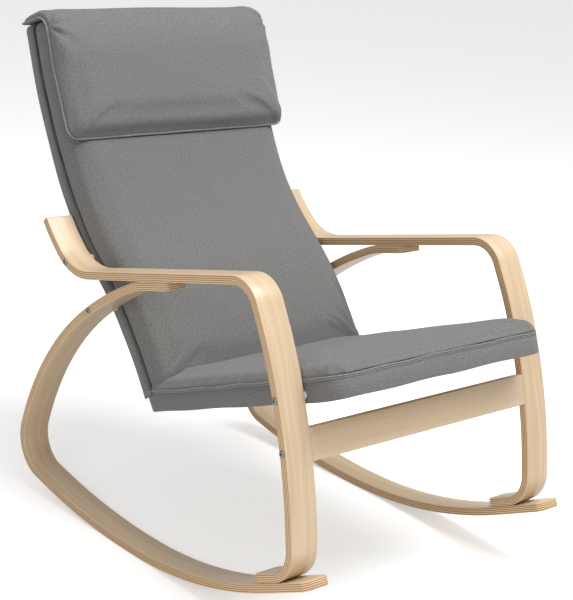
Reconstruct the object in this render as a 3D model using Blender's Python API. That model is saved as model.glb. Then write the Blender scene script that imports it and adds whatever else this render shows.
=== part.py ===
"""Bentwood rocking chair with an upholstered seat, back and lift-up headrest pad.

Metres, +Z up, the sitter faces -Y, +X is the sitter's left. The origin is on the
floor at the centre of the chair's plan outline. Side profiles are drawn as paths of
straight runs and arcs in a side plane (fore, up), where fore is -Y.
"""
import bpy
import bmesh
import math
from mathutils import Matrix, Vector

# ---------------------------------------------------------------- driving dimensions
GAP = 0.0003                    # between touching pieces

CHAIR_WIDTH = 0.670             # outer face to outer face
STRIP_WIDTH = 0.0594            # across the bent strips
ARM_THICKNESS = 0.0167
ROCKER_THICKNESS = 0.0167
STRIP_EASE = 0.0012             # eased long edges
TIP_ROUND = 0.0050              # rounded tip of the arm's tail
TIP_CLIP = 0.0095               # clipped corners of feet and runners

ARM_TAIL_FORE = -0.3294         # outer face at the tip of the tail
ARM_TAIL_UP = 0.6370
ARM_TAIL_HEADING = -55.7
ARM_TAIL_RUN = (0.0763, 10.4)   # length, turn in degrees
ARM_TAIL_ARC = (0.1000, 52.9)
ARMREST_SHORTER = 0.0312        # armrest's straight run, less than the seat's
ARMREST_BOW = -0.6
ARM_FRONT_ARC = (0.0847, -72.8)
LEG_UPPER = (0.1393, -8.5)
LEG_LOWER_BOW = 50.5            # degrees per metre
LEG_LOWER_RANGE = (0.12, 0.60)   # between which the leg meets the runner
FOOT_ARC_RADIUS = 0.0690
FOOT_LENGTH = 0.0560
FOOT_REACH = 0.0655             # from the leg's lower end back to the middle of the foot

ROCKER_TOP_FORE = 0.0613        # the end under the armrest
ROCKER_TOP_FLAT = 0.0680
ROCKER_TOP_BEND = (0.0360, 11.5)
ROCKER_ARC_1 = (0.2080, 14.6)
ROCKER_ARC_2 = (0.3568, 33.0)
ROCKER_REAR_BEND = (0.1312, 95.3)
RUNNER_1 = (0.3743, 13.9)
RUNNER_2 = (0.3606, 21.2)
RUNNER_TIP = (0.1440, 3.0)

RAIL_HEIGHT = 0.0590            # front rail
RAIL_THICKNESS = 0.0180
RAIL_BOLT_DROP = 0.0905         # below the seat bolt, along the leg

SEAT_BOLT_UP = 0.4052           # on the front leg
SEAT_SLOPE = 14.3               # degrees, front edge high
FRAME_FRONT_RUN = 0.0600        # frame ahead of the seat bolt
SEAT_RUN = 0.4820               # straight seat part of the frame
FRAME_BEND_RADIUS = 0.0500
FRAME_BEND = -76.8
BACK_LOWER = (0.2585, 17.5)
BACK_MIDDLE = (0.2000, -17.5)
BACK_UPPER = (0.3300, -15.0)
FRAME_DEPTH = 0.0240
FRAME_RAIL_WIDTH = 0.0260
SLAT_WIDTH = 0.0500
SLAT_THICKNESS = 0.0120
SLAT_END_INSET = 0.0120
BACK_LOWER_SLAT_UP = 0.0790     # above the frame's bend

COVER_WALL = 0.0060             # fabric and padding down the frame's outer side
COVER_CLEARANCE = 0.0012        # cover to strips' side and to the frame
COVER_TO_STRIP = 0.0050
HEM_DEPTH = 0.0150              # hem behind or below the frame's centre line
SEAT_PAD_HEIGHT = 0.0580        # top of the seat above the frame's centre line
SEAT_OVERHANG = 0.0220          # cover ahead of the frame's front end
SEAT_CORNER = 0.0360
SEAT_EDGE = 0.0200
SEAT_HEEL = 0.0120              # chamfer of the cover's lower rear corner
BACK_PAD_HEIGHT = 0.0720
BACK_EDGE = 0.0260
PAD_CLEARANCE = 0.0015
PAD_SKIN = 0.0080                # quilted cover; the light foam inside it is left out
PAD_SIDE_SKIN = 0.0096
HEADREST_CLEARANCE = 0.0030

HEADREST_HALF_WIDTH = 0.2790
HEADREST_DROP = 0.2620
HEADREST_THICKNESS = 0.0380
HEADREST_CAP = 0.0170
HEADREST_EDGE = 0.0120

BOLT_RADIUS = 0.0030
BOLT_BORE = 0.0034
BOLT_HEAD_RADIUS = 0.0065
BOLT_HEAD_HEIGHT = 0.0026
BOLT_SOCKET_RADIUS = 0.0023
BOLT_IN_FRAME = 0.0200
NUT_RADIUS = 0.0048
NUT_LENGTH = 0.0180
SPACER_RADIUS = 0.0085
BORE_RUNOUT = 0.0040            # cutters run this far past a face
NUT_RECESS = 0.0010             # rail nut, below the rail's end
SCREW_RADIUS = 0.0025
SCREW_HEAD_RADIUS = 0.0056
SCREW_HEAD_HEIGHT = 0.0034
SCREW_TIP_WALL = 0.0045         # wood left over the tip of a screw
SCREW_SPACING = 0.0280
FOOT_SCREW_BACK = 0.0308        # foot screws, from the foot's end
ARM_SCREW_BACK = 0.0360         # arm screw, behind the rocker's top end

STANCE = 6.17                    # degrees the drawing leans back when the chair rests on the floor
FACET = 4.6                     # degrees of bend to a facet
SIDES = 16

# ---------------------------------------------------------------- clean scene
for old in list(bpy.data.objects):
    bpy.data.objects.remove(old, do_unlink=True)


# ---------------------------------------------------------------- side paths
def walk(start, runs, facet=FACET):
    """Stations (fore, up, heading) along straight runs and arcs; a run is (length, turn)."""
    fore, up, heading = start
    stations = [(fore, up, heading)]
    for length, turn in runs:
        count = max(1, int(math.ceil(abs(turn) / facet)))
        turn = math.radians(turn)
        piece = length / count
        bend = turn / count
        for _ in range(count):
            chord = piece if abs(bend) < 1e-9 else piece * math.sin(bend / 2) / (bend / 2)
            fore += chord * math.cos(heading + bend / 2)
            up += chord * math.sin(heading + bend / 2)
            heading += bend
            stations.append((fore, up, heading))
    return stations


def aside(station, offset):
    """The point at a distance to the right of the direction of travel."""
    fore, up, heading = station
    return (fore + offset * math.sin(heading), up - offset * math.cos(heading))


def lengths(path):
    total = [0.0]
    for a, b in zip(path[:-1], path[1:]):
        total.append(total[-1] + math.hypot(b[0] - a[0], b[1] - a[1]))
    return total


def station_at(path, distance):
    total = lengths(path)
    if distance >= total[-1]:
        fore, up, heading = path[-1]
        over = distance - total[-1]
        return (fore + over * math.cos(heading), up + over * math.sin(heading), heading)
    if distance <= 0.0:
        fore, up, heading = path[0]
        return (fore + distance * math.cos(heading), up + distance * math.sin(heading), heading)
    for i in range(len(path) - 1):
        if total[i + 1] >= distance:
            t = (distance - total[i]) / (total[i + 1] - total[i])
            a, b = path[i], path[i + 1]
            return tuple(a[k] + t * (b[k] - a[k]) for k in range(3))
    return path[-1]


def cut_path(path, first, last):
    """The stations from one distance to another, with both ends exact."""
    total = lengths(path)
    inside = [path[i] for i in range(len(path)) if first + 1e-5 < total[i] < last - 1e-5]
    return [station_at(path, first)] + inside + [station_at(path, last)]


def distance_where(path, test):
    """Distance of the first point on the path where test(station) changes sign."""
    total = lengths(path)
    values = [test(s) for s in path]
    for i in range(len(path) - 1):
        if values[i] == 0.0 or values[i] * values[i + 1] < 0.0:
            t = values[i] / (values[i] - values[i + 1])
            return total[i] + t * (total[i + 1] - total[i])
    raise ValueError("the path does not reach the place asked for")


def crossing(path_a, path_b):
    """Distance along path_a where it first crosses path_b."""
    total = lengths(path_a)
    for i in range(len(path_a) - 1):
        p, q = path_a[i], path_a[i + 1]
        for r, s in zip(path_b[:-1], path_b[1:]):
            d = (q[0] - p[0]) * (s[1] - r[1]) - (q[1] - p[1]) * (s[0] - r[0])
            if abs(d) < 1e-12:
                continue
            t = ((r[0] - p[0]) * (s[1] - r[1]) - (r[1] - p[1]) * (s[0] - r[0])) / d
            w = ((r[0] - p[0]) * (q[1] - p[1]) - (r[1] - p[1]) * (q[0] - p[0])) / d
            if 0.0 <= t <= 1.0 and 0.0 <= w <= 1.0:
                return total[i] + t * (total[i + 1] - total[i])
    raise ValueError("two centre lines do not cross")


def shifted(path, offset):
    return [aside(s, offset) + (s[2],) for s in path]


# ---------------------------------------------------------------- the four side paths
arm_start = (ARM_TAIL_FORE, ARM_TAIL_UP, math.radians(ARM_TAIL_HEADING))
ARMREST_LENGTH = SEAT_RUN - ARMREST_SHORTER
ARM_RUNS = [ARM_TAIL_RUN, ARM_TAIL_ARC, (ARMREST_LENGTH, ARMREST_BOW), ARM_FRONT_ARC, LEG_UPPER]
arm_top = walk(arm_start, ARM_RUNS)
arm_under = shifted(arm_top, ARM_THICKNESS)

# the rocker's outer face lies on the armrest's underside at its top end
under_at = distance_where(arm_under, lambda s: s[0] - ROCKER_TOP_FORE)
under = station_at(arm_under, under_at)
rocker_start = (under[0] + GAP * math.sin(under[2]), under[1] - GAP * math.cos(under[2]),
                under[2] + math.pi)
rocker_outer = walk(rocker_start, [(ROCKER_TOP_FLAT, 0.0), ROCKER_TOP_BEND, ROCKER_ARC_1,
                                   ROCKER_ARC_2, ROCKER_REAR_BEND, RUNNER_1, RUNNER_2,
                                   RUNNER_TIP])
rocker_inner = shifted(rocker_outer, -ROCKER_THICKNESS)


# the leg's length and the foot's bend are those that lay the foot on the runner
def leg_and_foot(lower):
    leg_runs = ARM_RUNS + [(lower, -LEG_LOWER_BOW * lower)]
    leg = walk(arm_start, leg_runs)
    end = leg[-1]
    runner = rocker_inner[len(rocker_inner) // 3:]
    # heading of the runner under the foot, walked backwards
    front = distance_where(runner, lambda s: s[0] - (end[0] - FOOT_REACH))
    slope = station_at(runner, front)[2] - math.pi
    turn = slope - end[2]
    while turn > 0.0:
        turn -= 2.0 * math.pi
    while turn < -math.pi:
        turn += 2.0 * math.pi
    foot_arc = (abs(turn) * FOOT_ARC_RADIUS, math.degrees(turn))
    whole = walk(arm_start, leg_runs + [foot_arc, (FOOT_LENGTH, 0.0)])
    # height of the foot's sole over the runner, at both ends of the flat
    over = 1.0
    for station in whole[-2:]:
        at = distance_where(runner, lambda s, x=station[0]: s[0] - x)
        below = station_at(runner, at)
        over = min(over, (station[1] - below[1]) * math.cos(below[2]))
    return whole, over


low, high = LEG_LOWER_RANGE
for _ in range(40):
    middle = 0.5 * (low + high)
    if leg_and_foot(middle)[1] > GAP:
        low = middle
    else:
        high = middle
arm_outer = leg_and_foot(low)[0]
arm_total = lengths(arm_outer)[-1]
arm_mid = shifted(arm_outer, ARM_THICKNESS / 2)
rocker_mid = shifted(rocker_outer, -ROCKER_THICKNESS / 2)

# the inner frame starts ahead of the seat bolt and crosses rocker and tail
leg_part = [i for i, s in enumerate(arm_mid) if s[2] < math.radians(-40) and i > 12]
leg_mid = arm_mid[leg_part[0]:]
seat_bolt_at = distance_where(leg_mid, lambda s: s[1] - SEAT_BOLT_UP)
seat_bolt = station_at(leg_mid, seat_bolt_at)
rail_bolt = station_at(leg_mid, seat_bolt_at + RAIL_BOLT_DROP)
slope = math.radians(SEAT_SLOPE)
frame_start = (seat_bolt[0] + FRAME_FRONT_RUN * math.cos(slope),
               seat_bolt[1] + FRAME_FRONT_RUN * math.sin(slope), math.pi + slope)
bend_length = FRAME_BEND_RADIUS * math.radians(abs(FRAME_BEND))
frame_mid = walk(frame_start, [(SEAT_RUN, 0.0), (bend_length, FRAME_BEND), BACK_LOWER,
                               BACK_MIDDLE, BACK_UPPER])
frame_total = lengths(frame_mid)[-1]
back_only = cut_path(frame_mid, SEAT_RUN + bend_length, frame_total)
arc_bolt = station_at(back_only, crossing(back_only, rocker_mid[:len(rocker_mid) // 2]))
tail_bolt = station_at(back_only, crossing(back_only, arm_mid[:12]))

# ---------------------------------------------------------------- widths across the chair
X_OUT = CHAIR_WIDTH / 2
X_IN = X_OUT - STRIP_WIDTH
X_COVER = X_IN - COVER_TO_STRIP
X_RAIL_OUT = X_COVER - COVER_WALL - COVER_CLEARANCE
X_RAIL_IN = X_RAIL_OUT - FRAME_RAIL_WIDTH


# ---------------------------------------------------------------- materials
def material(name, colour, roughness, metallic=0.0):
    found = bpy.data.materials.new(name)
    found.use_nodes = True
    shader = found.node_tree.nodes["Principled BSDF"]
    shader.inputs["Base Color"].default_value = colour + (1.0,)
    shader.inputs["Roughness"].default_value = roughness
    shader.inputs["Metallic"].default_value = metallic
    found.diffuse_color = colour + (1.0,)
    return found


BIRCH = ("birch_ply", (0.72, 0.52, 0.31), 0.42)
INNER = ("frame_ply", (0.62, 0.44, 0.27), 0.55)
CLOTH = ("grey_weave", (0.25, 0.26, 0.26), 0.92)
STEEL = ("zinc_steel", (0.55, 0.54, 0.50), 0.38, 0.9)
DARK = ("black_steel", (0.05, 0.05, 0.05), 0.45, 0.7)
NYLON = ("pale_nylon", (0.80, 0.78, 0.72), 0.50)
everything = []


def place(name, mesh_data, look, location=(0.0, 0.0, 0.0), rotation=(0.0, 0.0, 0.0)):
    new = bpy.data.objects.new(name, mesh_data)
    new.location = location
    new.rotation_euler = rotation
    bpy.context.scene.collection.objects.link(new)
    own = bpy.data.materials.get(name) or material(name, *look[1:])
    if not mesh_data.materials:
        mesh_data.materials.append(own)
    new.material_slots[0].link = "OBJECT"
    new.material_slots[0].material = own
    everything.append(new)
    return new


def cutter(name, mesh_data, location=(0.0, 0.0, 0.0), rotation=(0.0, 0.0, 0.0)):
    new = bpy.data.objects.new(name, mesh_data)
    new.location = location
    new.rotation_euler = rotation
    new.hide_render = True
    new.display_type = "WIRE"
    bpy.context.scene.collection.objects.link(new)
    return new


def cut_away(target, tool):
    cut = target.modifiers.new("cut_" + tool.name, "BOOLEAN")
    cut.operation = "DIFFERENCE"
    cut.solver = "EXACT"
    cut.object = tool


# ---------------------------------------------------------------- shapes
def slab(name, stations, near, far, x_low, x_high, clips=(), rounds=()):
    """A strip that follows a path: offsets near and far to its right, from x_low to x_high.

    clips and rounds hold (end, size): the corners across the width are clipped, or the
    corners in the side view are rounded, at end 0 or end -1."""
    bm = bmesh.new()
    rings = []
    for station in stations:
        a, b = aside(station, near), aside(station, far)
        rings.append([bm.verts.new((x, -p[0], p[1]))
                      for x, p in ((x_low, a), (x_high, a), (x_high, b), (x_low, b))])
    for one, two in zip(rings[:-1], rings[1:]):
        for k in range(4):
            m = (k + 1) % 4
            bm.faces.new((one[k], one[m], two[m], two[k]))
    bm.faces.new(rings[0][::-1])
    bm.faces.new(rings[-1])
    bmesh.ops.recalc_face_normals(bm, faces=bm.faces)
    for end, size in clips:
        ring = rings[end]
        upright = [bm.edges.get((ring[1], ring[2])), bm.edges.get((ring[3], ring[0]))]
        bmesh.ops.bevel(bm, geom=upright, offset=size, offset_type="OFFSET", segments=1,
                        affect="EDGES", clamp_overlap=True)
    for end, size in rounds:
        ring = rings[end]
        level = [bm.edges.get((ring[0], ring[1])), bm.edges.get((ring[2], ring[3]))]
        bmesh.ops.bevel(bm, geom=level, offset=size, offset_type="OFFSET", segments=3,
                        profile=0.5, affect="EDGES", clamp_overlap=True)
    mesh_data = bpy.data.meshes.new(name)
    bm.to_mesh(mesh_data)
    bm.free()
    return mesh_data


def ease_edges(target, width):
    bevel = target.modifiers.new("eased_edges", "BEVEL")
    bevel.width = width
    bevel.segments = 1
    bevel.limit_method = "ANGLE"
    bevel.angle_limit = math.radians(50)


def turned(name, profile, sides=SIDES):
    """A turned piece about local Z from (radius, height) points, closed at both ends."""
    bm = bmesh.new()
    rings = []
    for radius, height in profile:
        rings.append([bm.verts.new((radius * math.cos(2 * math.pi * k / sides),
                                    radius * math.sin(2 * math.pi * k / sides), height))
                      for k in range(sides)])
    for one, two in zip(rings[:-1], rings[1:]):
        for k in range(sides):
            m = (k + 1) % sides
            bm.faces.new((one[k], one[m], two[m], two[k]))
    bm.faces.new(rings[0][::-1])
    bm.faces.new(rings[-1])
    bmesh.ops.recalc_face_normals(bm, faces=bm.faces)
    mesh_data = bpy.data.meshes.new(name)
    bm.to_mesh(mesh_data)
    bm.free()
    return mesh_data


def tube(name, outer, inner, length, sides=SIDES):
    """A plain tube along local Z from 0 to its length."""
    bm = bmesh.new()
    rings = []
    for radius, height in ((inner, 0.0), (outer, 0.0), (outer, length), (inner, length)):
        rings.append([bm.verts.new((radius * math.cos(2 * math.pi * k / sides),
                                    radius * math.sin(2 * math.pi * k / sides), height))
                      for k in range(sides)])
    for i in range(4):
        one, two = rings[i], rings[(i + 1) % 4]
        for k in range(sides):
            m = (k + 1) % sides
            bm.faces.new((one[k], one[m], two[m], two[k]))
    bmesh.ops.recalc_face_normals(bm, faces=bm.faces)
    mesh_data = bpy.data.meshes.new(name)
    bm.to_mesh(mesh_data)
    bm.free()
    return mesh_data


def socket_bolt(name, radius, length, head_radius, head_height, socket_radius):
    """Local Z runs from the head's seat (0) down the shank; the head is at negative Z."""
    dome = [(head_radius * 0.86, -head_height), (head_radius, -head_height * 0.6), (head_radius, 0.0)]
    shank = [(radius, 0.0), (radius, length - radius * 0.5), (radius * 0.6, length)]
    body = turned(name + "_blank", dome + shank)
    blank = bpy.data.objects.new(name + "_blank", body)
    bpy.context.scene.collection.objects.link(blank)
    hexagon = turned(name + "_hexagon", [(socket_radius, -head_height * 1.5),
                                         (socket_radius, -head_height * 0.15)], 6)
    tool = cutter(name + "_hexagon", hexagon)
    cut_away(blank, tool)
    bpy.context.view_layer.update()
    finished = bpy.data.meshes.new_from_object(
        blank.evaluated_get(bpy.context.evaluated_depsgraph_get()))
    finished.name = name
    bpy.data.objects.remove(blank, do_unlink=True)
    bpy.data.objects.remove(tool, do_unlink=True)
    return finished


def across(side):
    """Rotation that points local Z from the outer side of the chair to its middle."""
    return (0.0, math.radians(90.0) if side < 0 else math.radians(-90.0), 0.0)


def point(x, station):
    return (x, -station[0], station[1])


# ---------------------------------------------------------------- bent strips
sides = (("right", -1), ("left", 1))
strips = {}
for word, side in sides:
    x_low, x_high = (-X_OUT, -X_IN) if side < 0 else (X_IN, X_OUT)
    data = slab(word + "_arm_leg", arm_outer, 0.0, ARM_THICKNESS, x_low, x_high,
                clips=((-1, TIP_CLIP),), rounds=((0, TIP_ROUND),))
    strips[word, "arm"] = place(word + "_arm_leg", data, BIRCH)
    ease_edges(strips[word, "arm"], STRIP_EASE)
    data = slab(word + "_rocker", rocker_outer, -ROCKER_THICKNESS, 0.0, x_low, x_high,
                clips=((-1, TIP_CLIP), (0, TIP_CLIP)))
    strips[word, "rocker"] = place(word + "_rocker", data, BIRCH)
    ease_edges(strips[word, "rocker"], STRIP_EASE)

# ---------------------------------------------------------------- front rail, flush with the legs
rail_front = station_at(arm_outer[leg_part[0]:], seat_bolt_at + RAIL_BOLT_DROP)
direction = (math.cos(rail_front[2]), math.sin(rail_front[2]))
rail_path = [(rail_front[0] + half * direction[0], rail_front[1] + half * direction[1], rail_front[2])
             for half in (-RAIL_HEIGHT / 2, RAIL_HEIGHT / 2)]
front_rail = place("front_rail", slab("front_rail", rail_path, GAP, RAIL_THICKNESS,
                                      -X_IN + GAP, X_IN - GAP), BIRCH)
ease_edges(front_rail, STRIP_EASE)

# ---------------------------------------------------------------- inner frame
frame_rails = {}
for word, side in sides:
    x_low, x_high = sorted((side * X_RAIL_IN, side * X_RAIL_OUT))
    data = slab(word + "_frame_rail", frame_mid, -FRAME_DEPTH / 2, FRAME_DEPTH / 2, x_low, x_high)
    frame_rails[word] = place(word + "_frame_rail", data, INNER)
    ease_edges(frame_rails[word], STRIP_EASE)

seat_end = SEAT_RUN + bend_length
back_run = frame_total - seat_end
slats = (("seat_front_slat", SLAT_END_INSET),
         ("seat_middle_slat", (SEAT_RUN - SLAT_WIDTH) / 2),
         ("seat_rear_slat", SEAT_RUN - SLAT_WIDTH - SLAT_END_INSET),
         ("back_lower_slat", seat_end + BACK_LOWER_SLAT_UP),
         ("back_middle_slat", seat_end + (back_run - SLAT_WIDTH) / 2),
         ("back_top_slat", frame_total - SLAT_WIDTH - SLAT_END_INSET))
for name, first in slats:
    data = slab(name, cut_path(frame_mid, first, first + SLAT_WIDTH), FRAME_DEPTH / 2 - SLAT_THICKNESS,
                FRAME_DEPTH / 2, -X_RAIL_IN + GAP, X_RAIL_IN - GAP)
    ease_edges(place(name, data, INNER), STRIP_EASE)

# ---------------------------------------------------------------- soft parts
# zones that the covers leave free, as cutters
TOP_WALL = COVER_WALL + COVER_CLEARANCE
cleared = cut_path(frame_mid, -COVER_CLEARANCE, frame_total + COVER_CLEARANCE)
frame_zone = cutter("frame_zone", slab("frame_zone", cleared, -FRAME_DEPTH,
                                       FRAME_DEPTH / 2 + COVER_CLEARANCE,
                                       -X_RAIL_OUT - COVER_CLEARANCE, X_RAIL_OUT + COVER_CLEARANCE))


def toward(heading, distance):
    return (distance * math.cos(heading), distance * math.sin(heading))


def meet(p, p_heading, q, q_heading):
    """Where two lines meet, each a point and a heading."""
    ax, ay = math.cos(p_heading), math.sin(p_heading)
    bx, by = math.cos(q_heading), math.sin(q_heading)
    t = ((q[0] - p[0]) * by - (q[1] - p[1]) * bx) / (ax * by - ay * bx)
    return (p[0] + t * ax, p[1] + t * ay)


seat_front = station_at(frame_mid, -SEAT_OVERHANG)
seat_heading = seat_front[2]
split = station_at(frame_mid, seat_end)
back_heading = split[2]
heel = meet(aside(seat_front, -HEM_DEPTH), seat_heading, aside(split, -HEM_DEPTH), back_heading)
below = toward(back_heading, -PAD_CLEARANCE)
under_rear = aside(split, -HEM_DEPTH)
under_front = aside(split, BACK_PAD_HEIGHT + PAD_CLEARANCE)
crease = meet(aside(seat_front, SEAT_PAD_HEIGHT), seat_heading, under_front, back_heading)
rise = ((crease[0] - under_front[0]) * math.cos(back_heading)
        + (crease[1] - under_front[1]) * math.sin(back_heading))
before_heel = toward(seat_heading, -SEAT_HEEL)
after_heel = toward(back_heading, SEAT_HEEL)
outline = [aside(seat_front, -HEM_DEPTH),
           (heel[0] + before_heel[0], heel[1] + before_heel[1]),
           (heel[0] + after_heel[0], heel[1] + after_heel[1]),
           (under_rear[0] + below[0], under_rear[1] + below[1])]
if rise > -PAD_CLEARANCE:
    outline += [(under_front[0] + below[0], under_front[1] + below[1]), crease]
else:
    outline.append(meet(aside(seat_front, SEAT_PAD_HEIGHT), seat_heading,
                        (under_rear[0] + below[0], under_rear[1] + below[1]),
                        back_heading - math.pi / 2))
outline.append(aside(seat_front, SEAT_PAD_HEIGHT))

bm = bmesh.new()
side_face = bm.faces.new([bm.verts.new((-X_COVER, -p[0], p[1])) for p in outline])
grown = bmesh.ops.extrude_face_region(bm, geom=[side_face])
bmesh.ops.translate(bm, vec=(2 * X_COVER, 0.0, 0.0),
                    verts=[v for v in grown["geom"] if isinstance(v, bmesh.types.BMVert)])
bmesh.ops.recalc_face_normals(bm, faces=bm.faces)
ends = (outline[0], outline[-1])
front_corners = [e for e in bm.edges
                 if abs(e.verts[0].co.x - e.verts[1].co.x) < 1e-6
                 and all(min(math.hypot(-v.co.y - p[0], v.co.z - p[1]) for p in ends) < 1e-5
                         for v in e.verts)]
bmesh.ops.bevel(bm, geom=front_corners, offset=SEAT_CORNER, offset_type="OFFSET", segments=5,
                profile=0.5, affect="EDGES")
normal = Vector((0.0, math.sin(slope), math.cos(slope)))
top_level = max(v.co.dot(normal) for v in bm.verts)
rear_edge = outline[-2]
rim = []
for edge in bm.edges:
    on_top = all(abs(v.co.dot(normal) - top_level) < 1e-4 for v in edge.verts)
    at_rear = all(math.hypot(-v.co.y - rear_edge[0], v.co.z - rear_edge[1]) < 1e-4 for v in edge.verts)
    if on_top and not at_rear:
        rim.append(edge)
bmesh.ops.bevel(bm, geom=rim, offset=SEAT_EDGE, offset_type="OFFSET", segments=3, profile=0.5,
                affect="EDGES")
seat_data = bpy.data.meshes.new("seat_cushion")
bm.to_mesh(seat_data)
bm.free()
seat_cushion = place("seat_cushion", seat_data, CLOTH)
cut_away(seat_cushion, frame_zone)
foam_zone = cutter("foam_zone", slab("foam_zone", [station_at(frame_mid, PAD_SKIN - SEAT_OVERHANG),
                                                   station_at(frame_mid, SEAT_RUN - PAD_SKIN)],
                                     0.0, SEAT_PAD_HEIGHT - PAD_SKIN, -X_COVER + PAD_SIDE_SKIN,
                                     X_COVER - PAD_SIDE_SKIN))
cut_away(seat_cushion, foam_zone)

back_last = frame_total + TOP_WALL
cavity_x = X_RAIL_OUT + COVER_CLEARANCE
cavity_front = FRAME_DEPTH / 2 + COVER_CLEARANCE
front_corner = [(X_COVER - BACK_EDGE * (1 - math.cos(math.radians(t))),
                 BACK_PAD_HEIGHT - BACK_EDGE * (1 - math.sin(math.radians(t)))) for t in (0, 30, 60, 90)]
outer_loop = ([(-X_COVER, -HEM_DEPTH)] + [(-x, n) for x, n in front_corner]
              + front_corner[::-1] + [(X_COVER, -HEM_DEPTH)])
foam_x = X_COVER - PAD_SIDE_SKIN
foam_front = BACK_PAD_HEIGHT - PAD_SKIN
half_inner = [(cavity_x, -HEM_DEPTH), (cavity_x, cavity_front), (foam_x, cavity_front), (foam_x, foam_front)]
inner_loop = half_inner + [(-x, n) for x, n in half_inner[::-1]]
bm = bmesh.new()
rings = []
for station in cut_path(frame_mid, seat_end, frame_total + COVER_CLEARANCE):
    rings.append([bm.verts.new((x, -aside(station, n)[0], aside(station, n)[1]))
                  for x, n in outer_loop + inner_loop])
around = len(rings[0])
for one, two in zip(rings[:-1], rings[1:]):
    for k in range(around):
        m = (k + 1) % around
        bm.faces.new((one[k], one[m], two[m], two[k]))
bm.faces.new(rings[0][::-1])
top_station = station_at(frame_mid, back_last)
crown = [bm.verts.new((x, -aside(top_station, n)[0], aside(top_station, n)[1])) for x, n in outer_loop]
last = rings[-1]
for k in range(len(outer_loop) - 1):
    bm.faces.new((last[k], last[k + 1], crown[k + 1], crown[k]))
edge = len(outer_loop) - 1
bm.faces.new((last[edge], last[edge + 1], last[-1], last[0], crown[0], crown[edge]))
bm.faces.new(last[edge + 1:])
bm.faces.new(crown)
bmesh.ops.recalc_face_normals(bm, faces=bm.faces)
back_data = bpy.data.meshes.new("back_cushion")
bm.to_mesh(back_data)
bm.free()
back_cushion = place("back_cushion", back_data, CLOTH)

# headrest pad: a cap over the back's top edge and a flap down its front, turning about
# the seam along the rear top edge
seam = station_at(frame_mid, back_last + PAD_CLEARANCE / 2)
hinge = aside(seam, -HEM_DEPTH)
inner_face = BACK_PAD_HEIGHT + HEADREST_CLEARANCE
flap = cut_path(frame_mid, frame_total - HEADREST_DROP, back_last + PAD_CLEARANCE)
flap_top = station_at(frame_mid, back_last + PAD_CLEARANCE)
cap_top = station_at(frame_mid, back_last + PAD_CLEARANCE + HEADREST_CAP)
outline = [aside(s, inner_face) for s in flap]
outline.append(aside(flap_top, -HEM_DEPTH))
outline.append(aside(cap_top, -HEM_DEPTH))
outline.append(aside(cap_top, inner_face + HEADREST_THICKNESS - HEADREST_CAP))
outline += [aside(s, inner_face + HEADREST_THICKNESS) for s in reversed(flap)]
bm = bmesh.new()
ring_low = [bm.verts.new((-HEADREST_HALF_WIDTH, -p[0] + hinge[0], p[1] - hinge[1])) for p in outline]
face = bm.faces.new(ring_low)
grown = bmesh.ops.extrude_face_region(bm, geom=[face])
bmesh.ops.translate(bm, vec=(2 * HEADREST_HALF_WIDTH, 0.0, 0.0),
                    verts=[v for v in grown["geom"] if isinstance(v, bmesh.types.BMVert)])
bmesh.ops.recalc_face_normals(bm, faces=bm.faces)
bm.normal_update()
outer_edges = [e for e in bm.edges if e.is_convex and e.calc_face_angle() > math.radians(50)]
bmesh.ops.bevel(bm, geom=outer_edges, offset=HEADREST_EDGE, offset_type="OFFSET", segments=2,
                profile=0.5, affect="EDGES", clamp_overlap=True)
headrest_data = bpy.data.meshes.new("headrest_pad")
bm.to_mesh(headrest_data)
bm.free()
headrest = place("headrest_pad", headrest_data, CLOTH, location=(0.0, -hinge[0], hinge[1]))
recess = cut_path(frame_mid, frame_total - HEADREST_DROP + 2 * PAD_SKIN, frame_total - PAD_SKIN)
cut_away(headrest, cutter("headrest_foam_zone",
                          slab("headrest_foam_zone", recess, inner_face - PAD_SKIN,
                               inner_face + HEADREST_THICKNESS - PAD_SKIN,
                               -HEADREST_HALF_WIDTH + 2 * PAD_SKIN, HEADREST_HALF_WIDTH - 2 * PAD_SKIN)))

# ---------------------------------------------------------------- bolts through the strips
through_strip = STRIP_WIDTH + COVER_TO_STRIP + COVER_WALL + COVER_CLEARANCE
frame_bolt = socket_bolt("frame_bolt", BOLT_RADIUS, through_strip + BOLT_IN_FRAME, BOLT_HEAD_RADIUS,
                         BOLT_HEAD_HEIGHT, BOLT_SOCKET_RADIUS)
rail_bolt_data = socket_bolt("rail_bolt", BOLT_RADIUS, STRIP_WIDTH + BOLT_IN_FRAME, BOLT_HEAD_RADIUS,
                             BOLT_HEAD_HEIGHT, BOLT_SOCKET_RADIUS)
nut_data = tube("insert_nut", NUT_RADIUS, BOLT_BORE, NUT_LENGTH)
spacer_length = X_IN - X_RAIL_OUT - 2 * GAP
spacer_data = tube("spacer", SPACER_RADIUS, BOLT_BORE, spacer_length)
bore_data = turned("bolt_bore", [(BOLT_BORE, -BORE_RUNOUT), (BOLT_BORE, STRIP_WIDTH + BORE_RUNOUT)])
nut_bore_data = turned("nut_bore", [(NUT_RADIUS + GAP, -BORE_RUNOUT),
                                    (NUT_RADIUS + GAP, FRAME_RAIL_WIDTH + BORE_RUNOUT)])
rail_bore_data = turned("rail_bore", [(NUT_RADIUS + GAP, -BORE_RUNOUT),
                                      (NUT_RADIUS + GAP, BOLT_IN_FRAME + 2 * BORE_RUNOUT)])
hole_data = turned("cover_hole", [(SPACER_RADIUS + COVER_CLEARANCE, -BORE_RUNOUT),
                                  (SPACER_RADIUS + COVER_CLEARANCE, COVER_TO_STRIP + TOP_WALL + GAP)])

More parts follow.
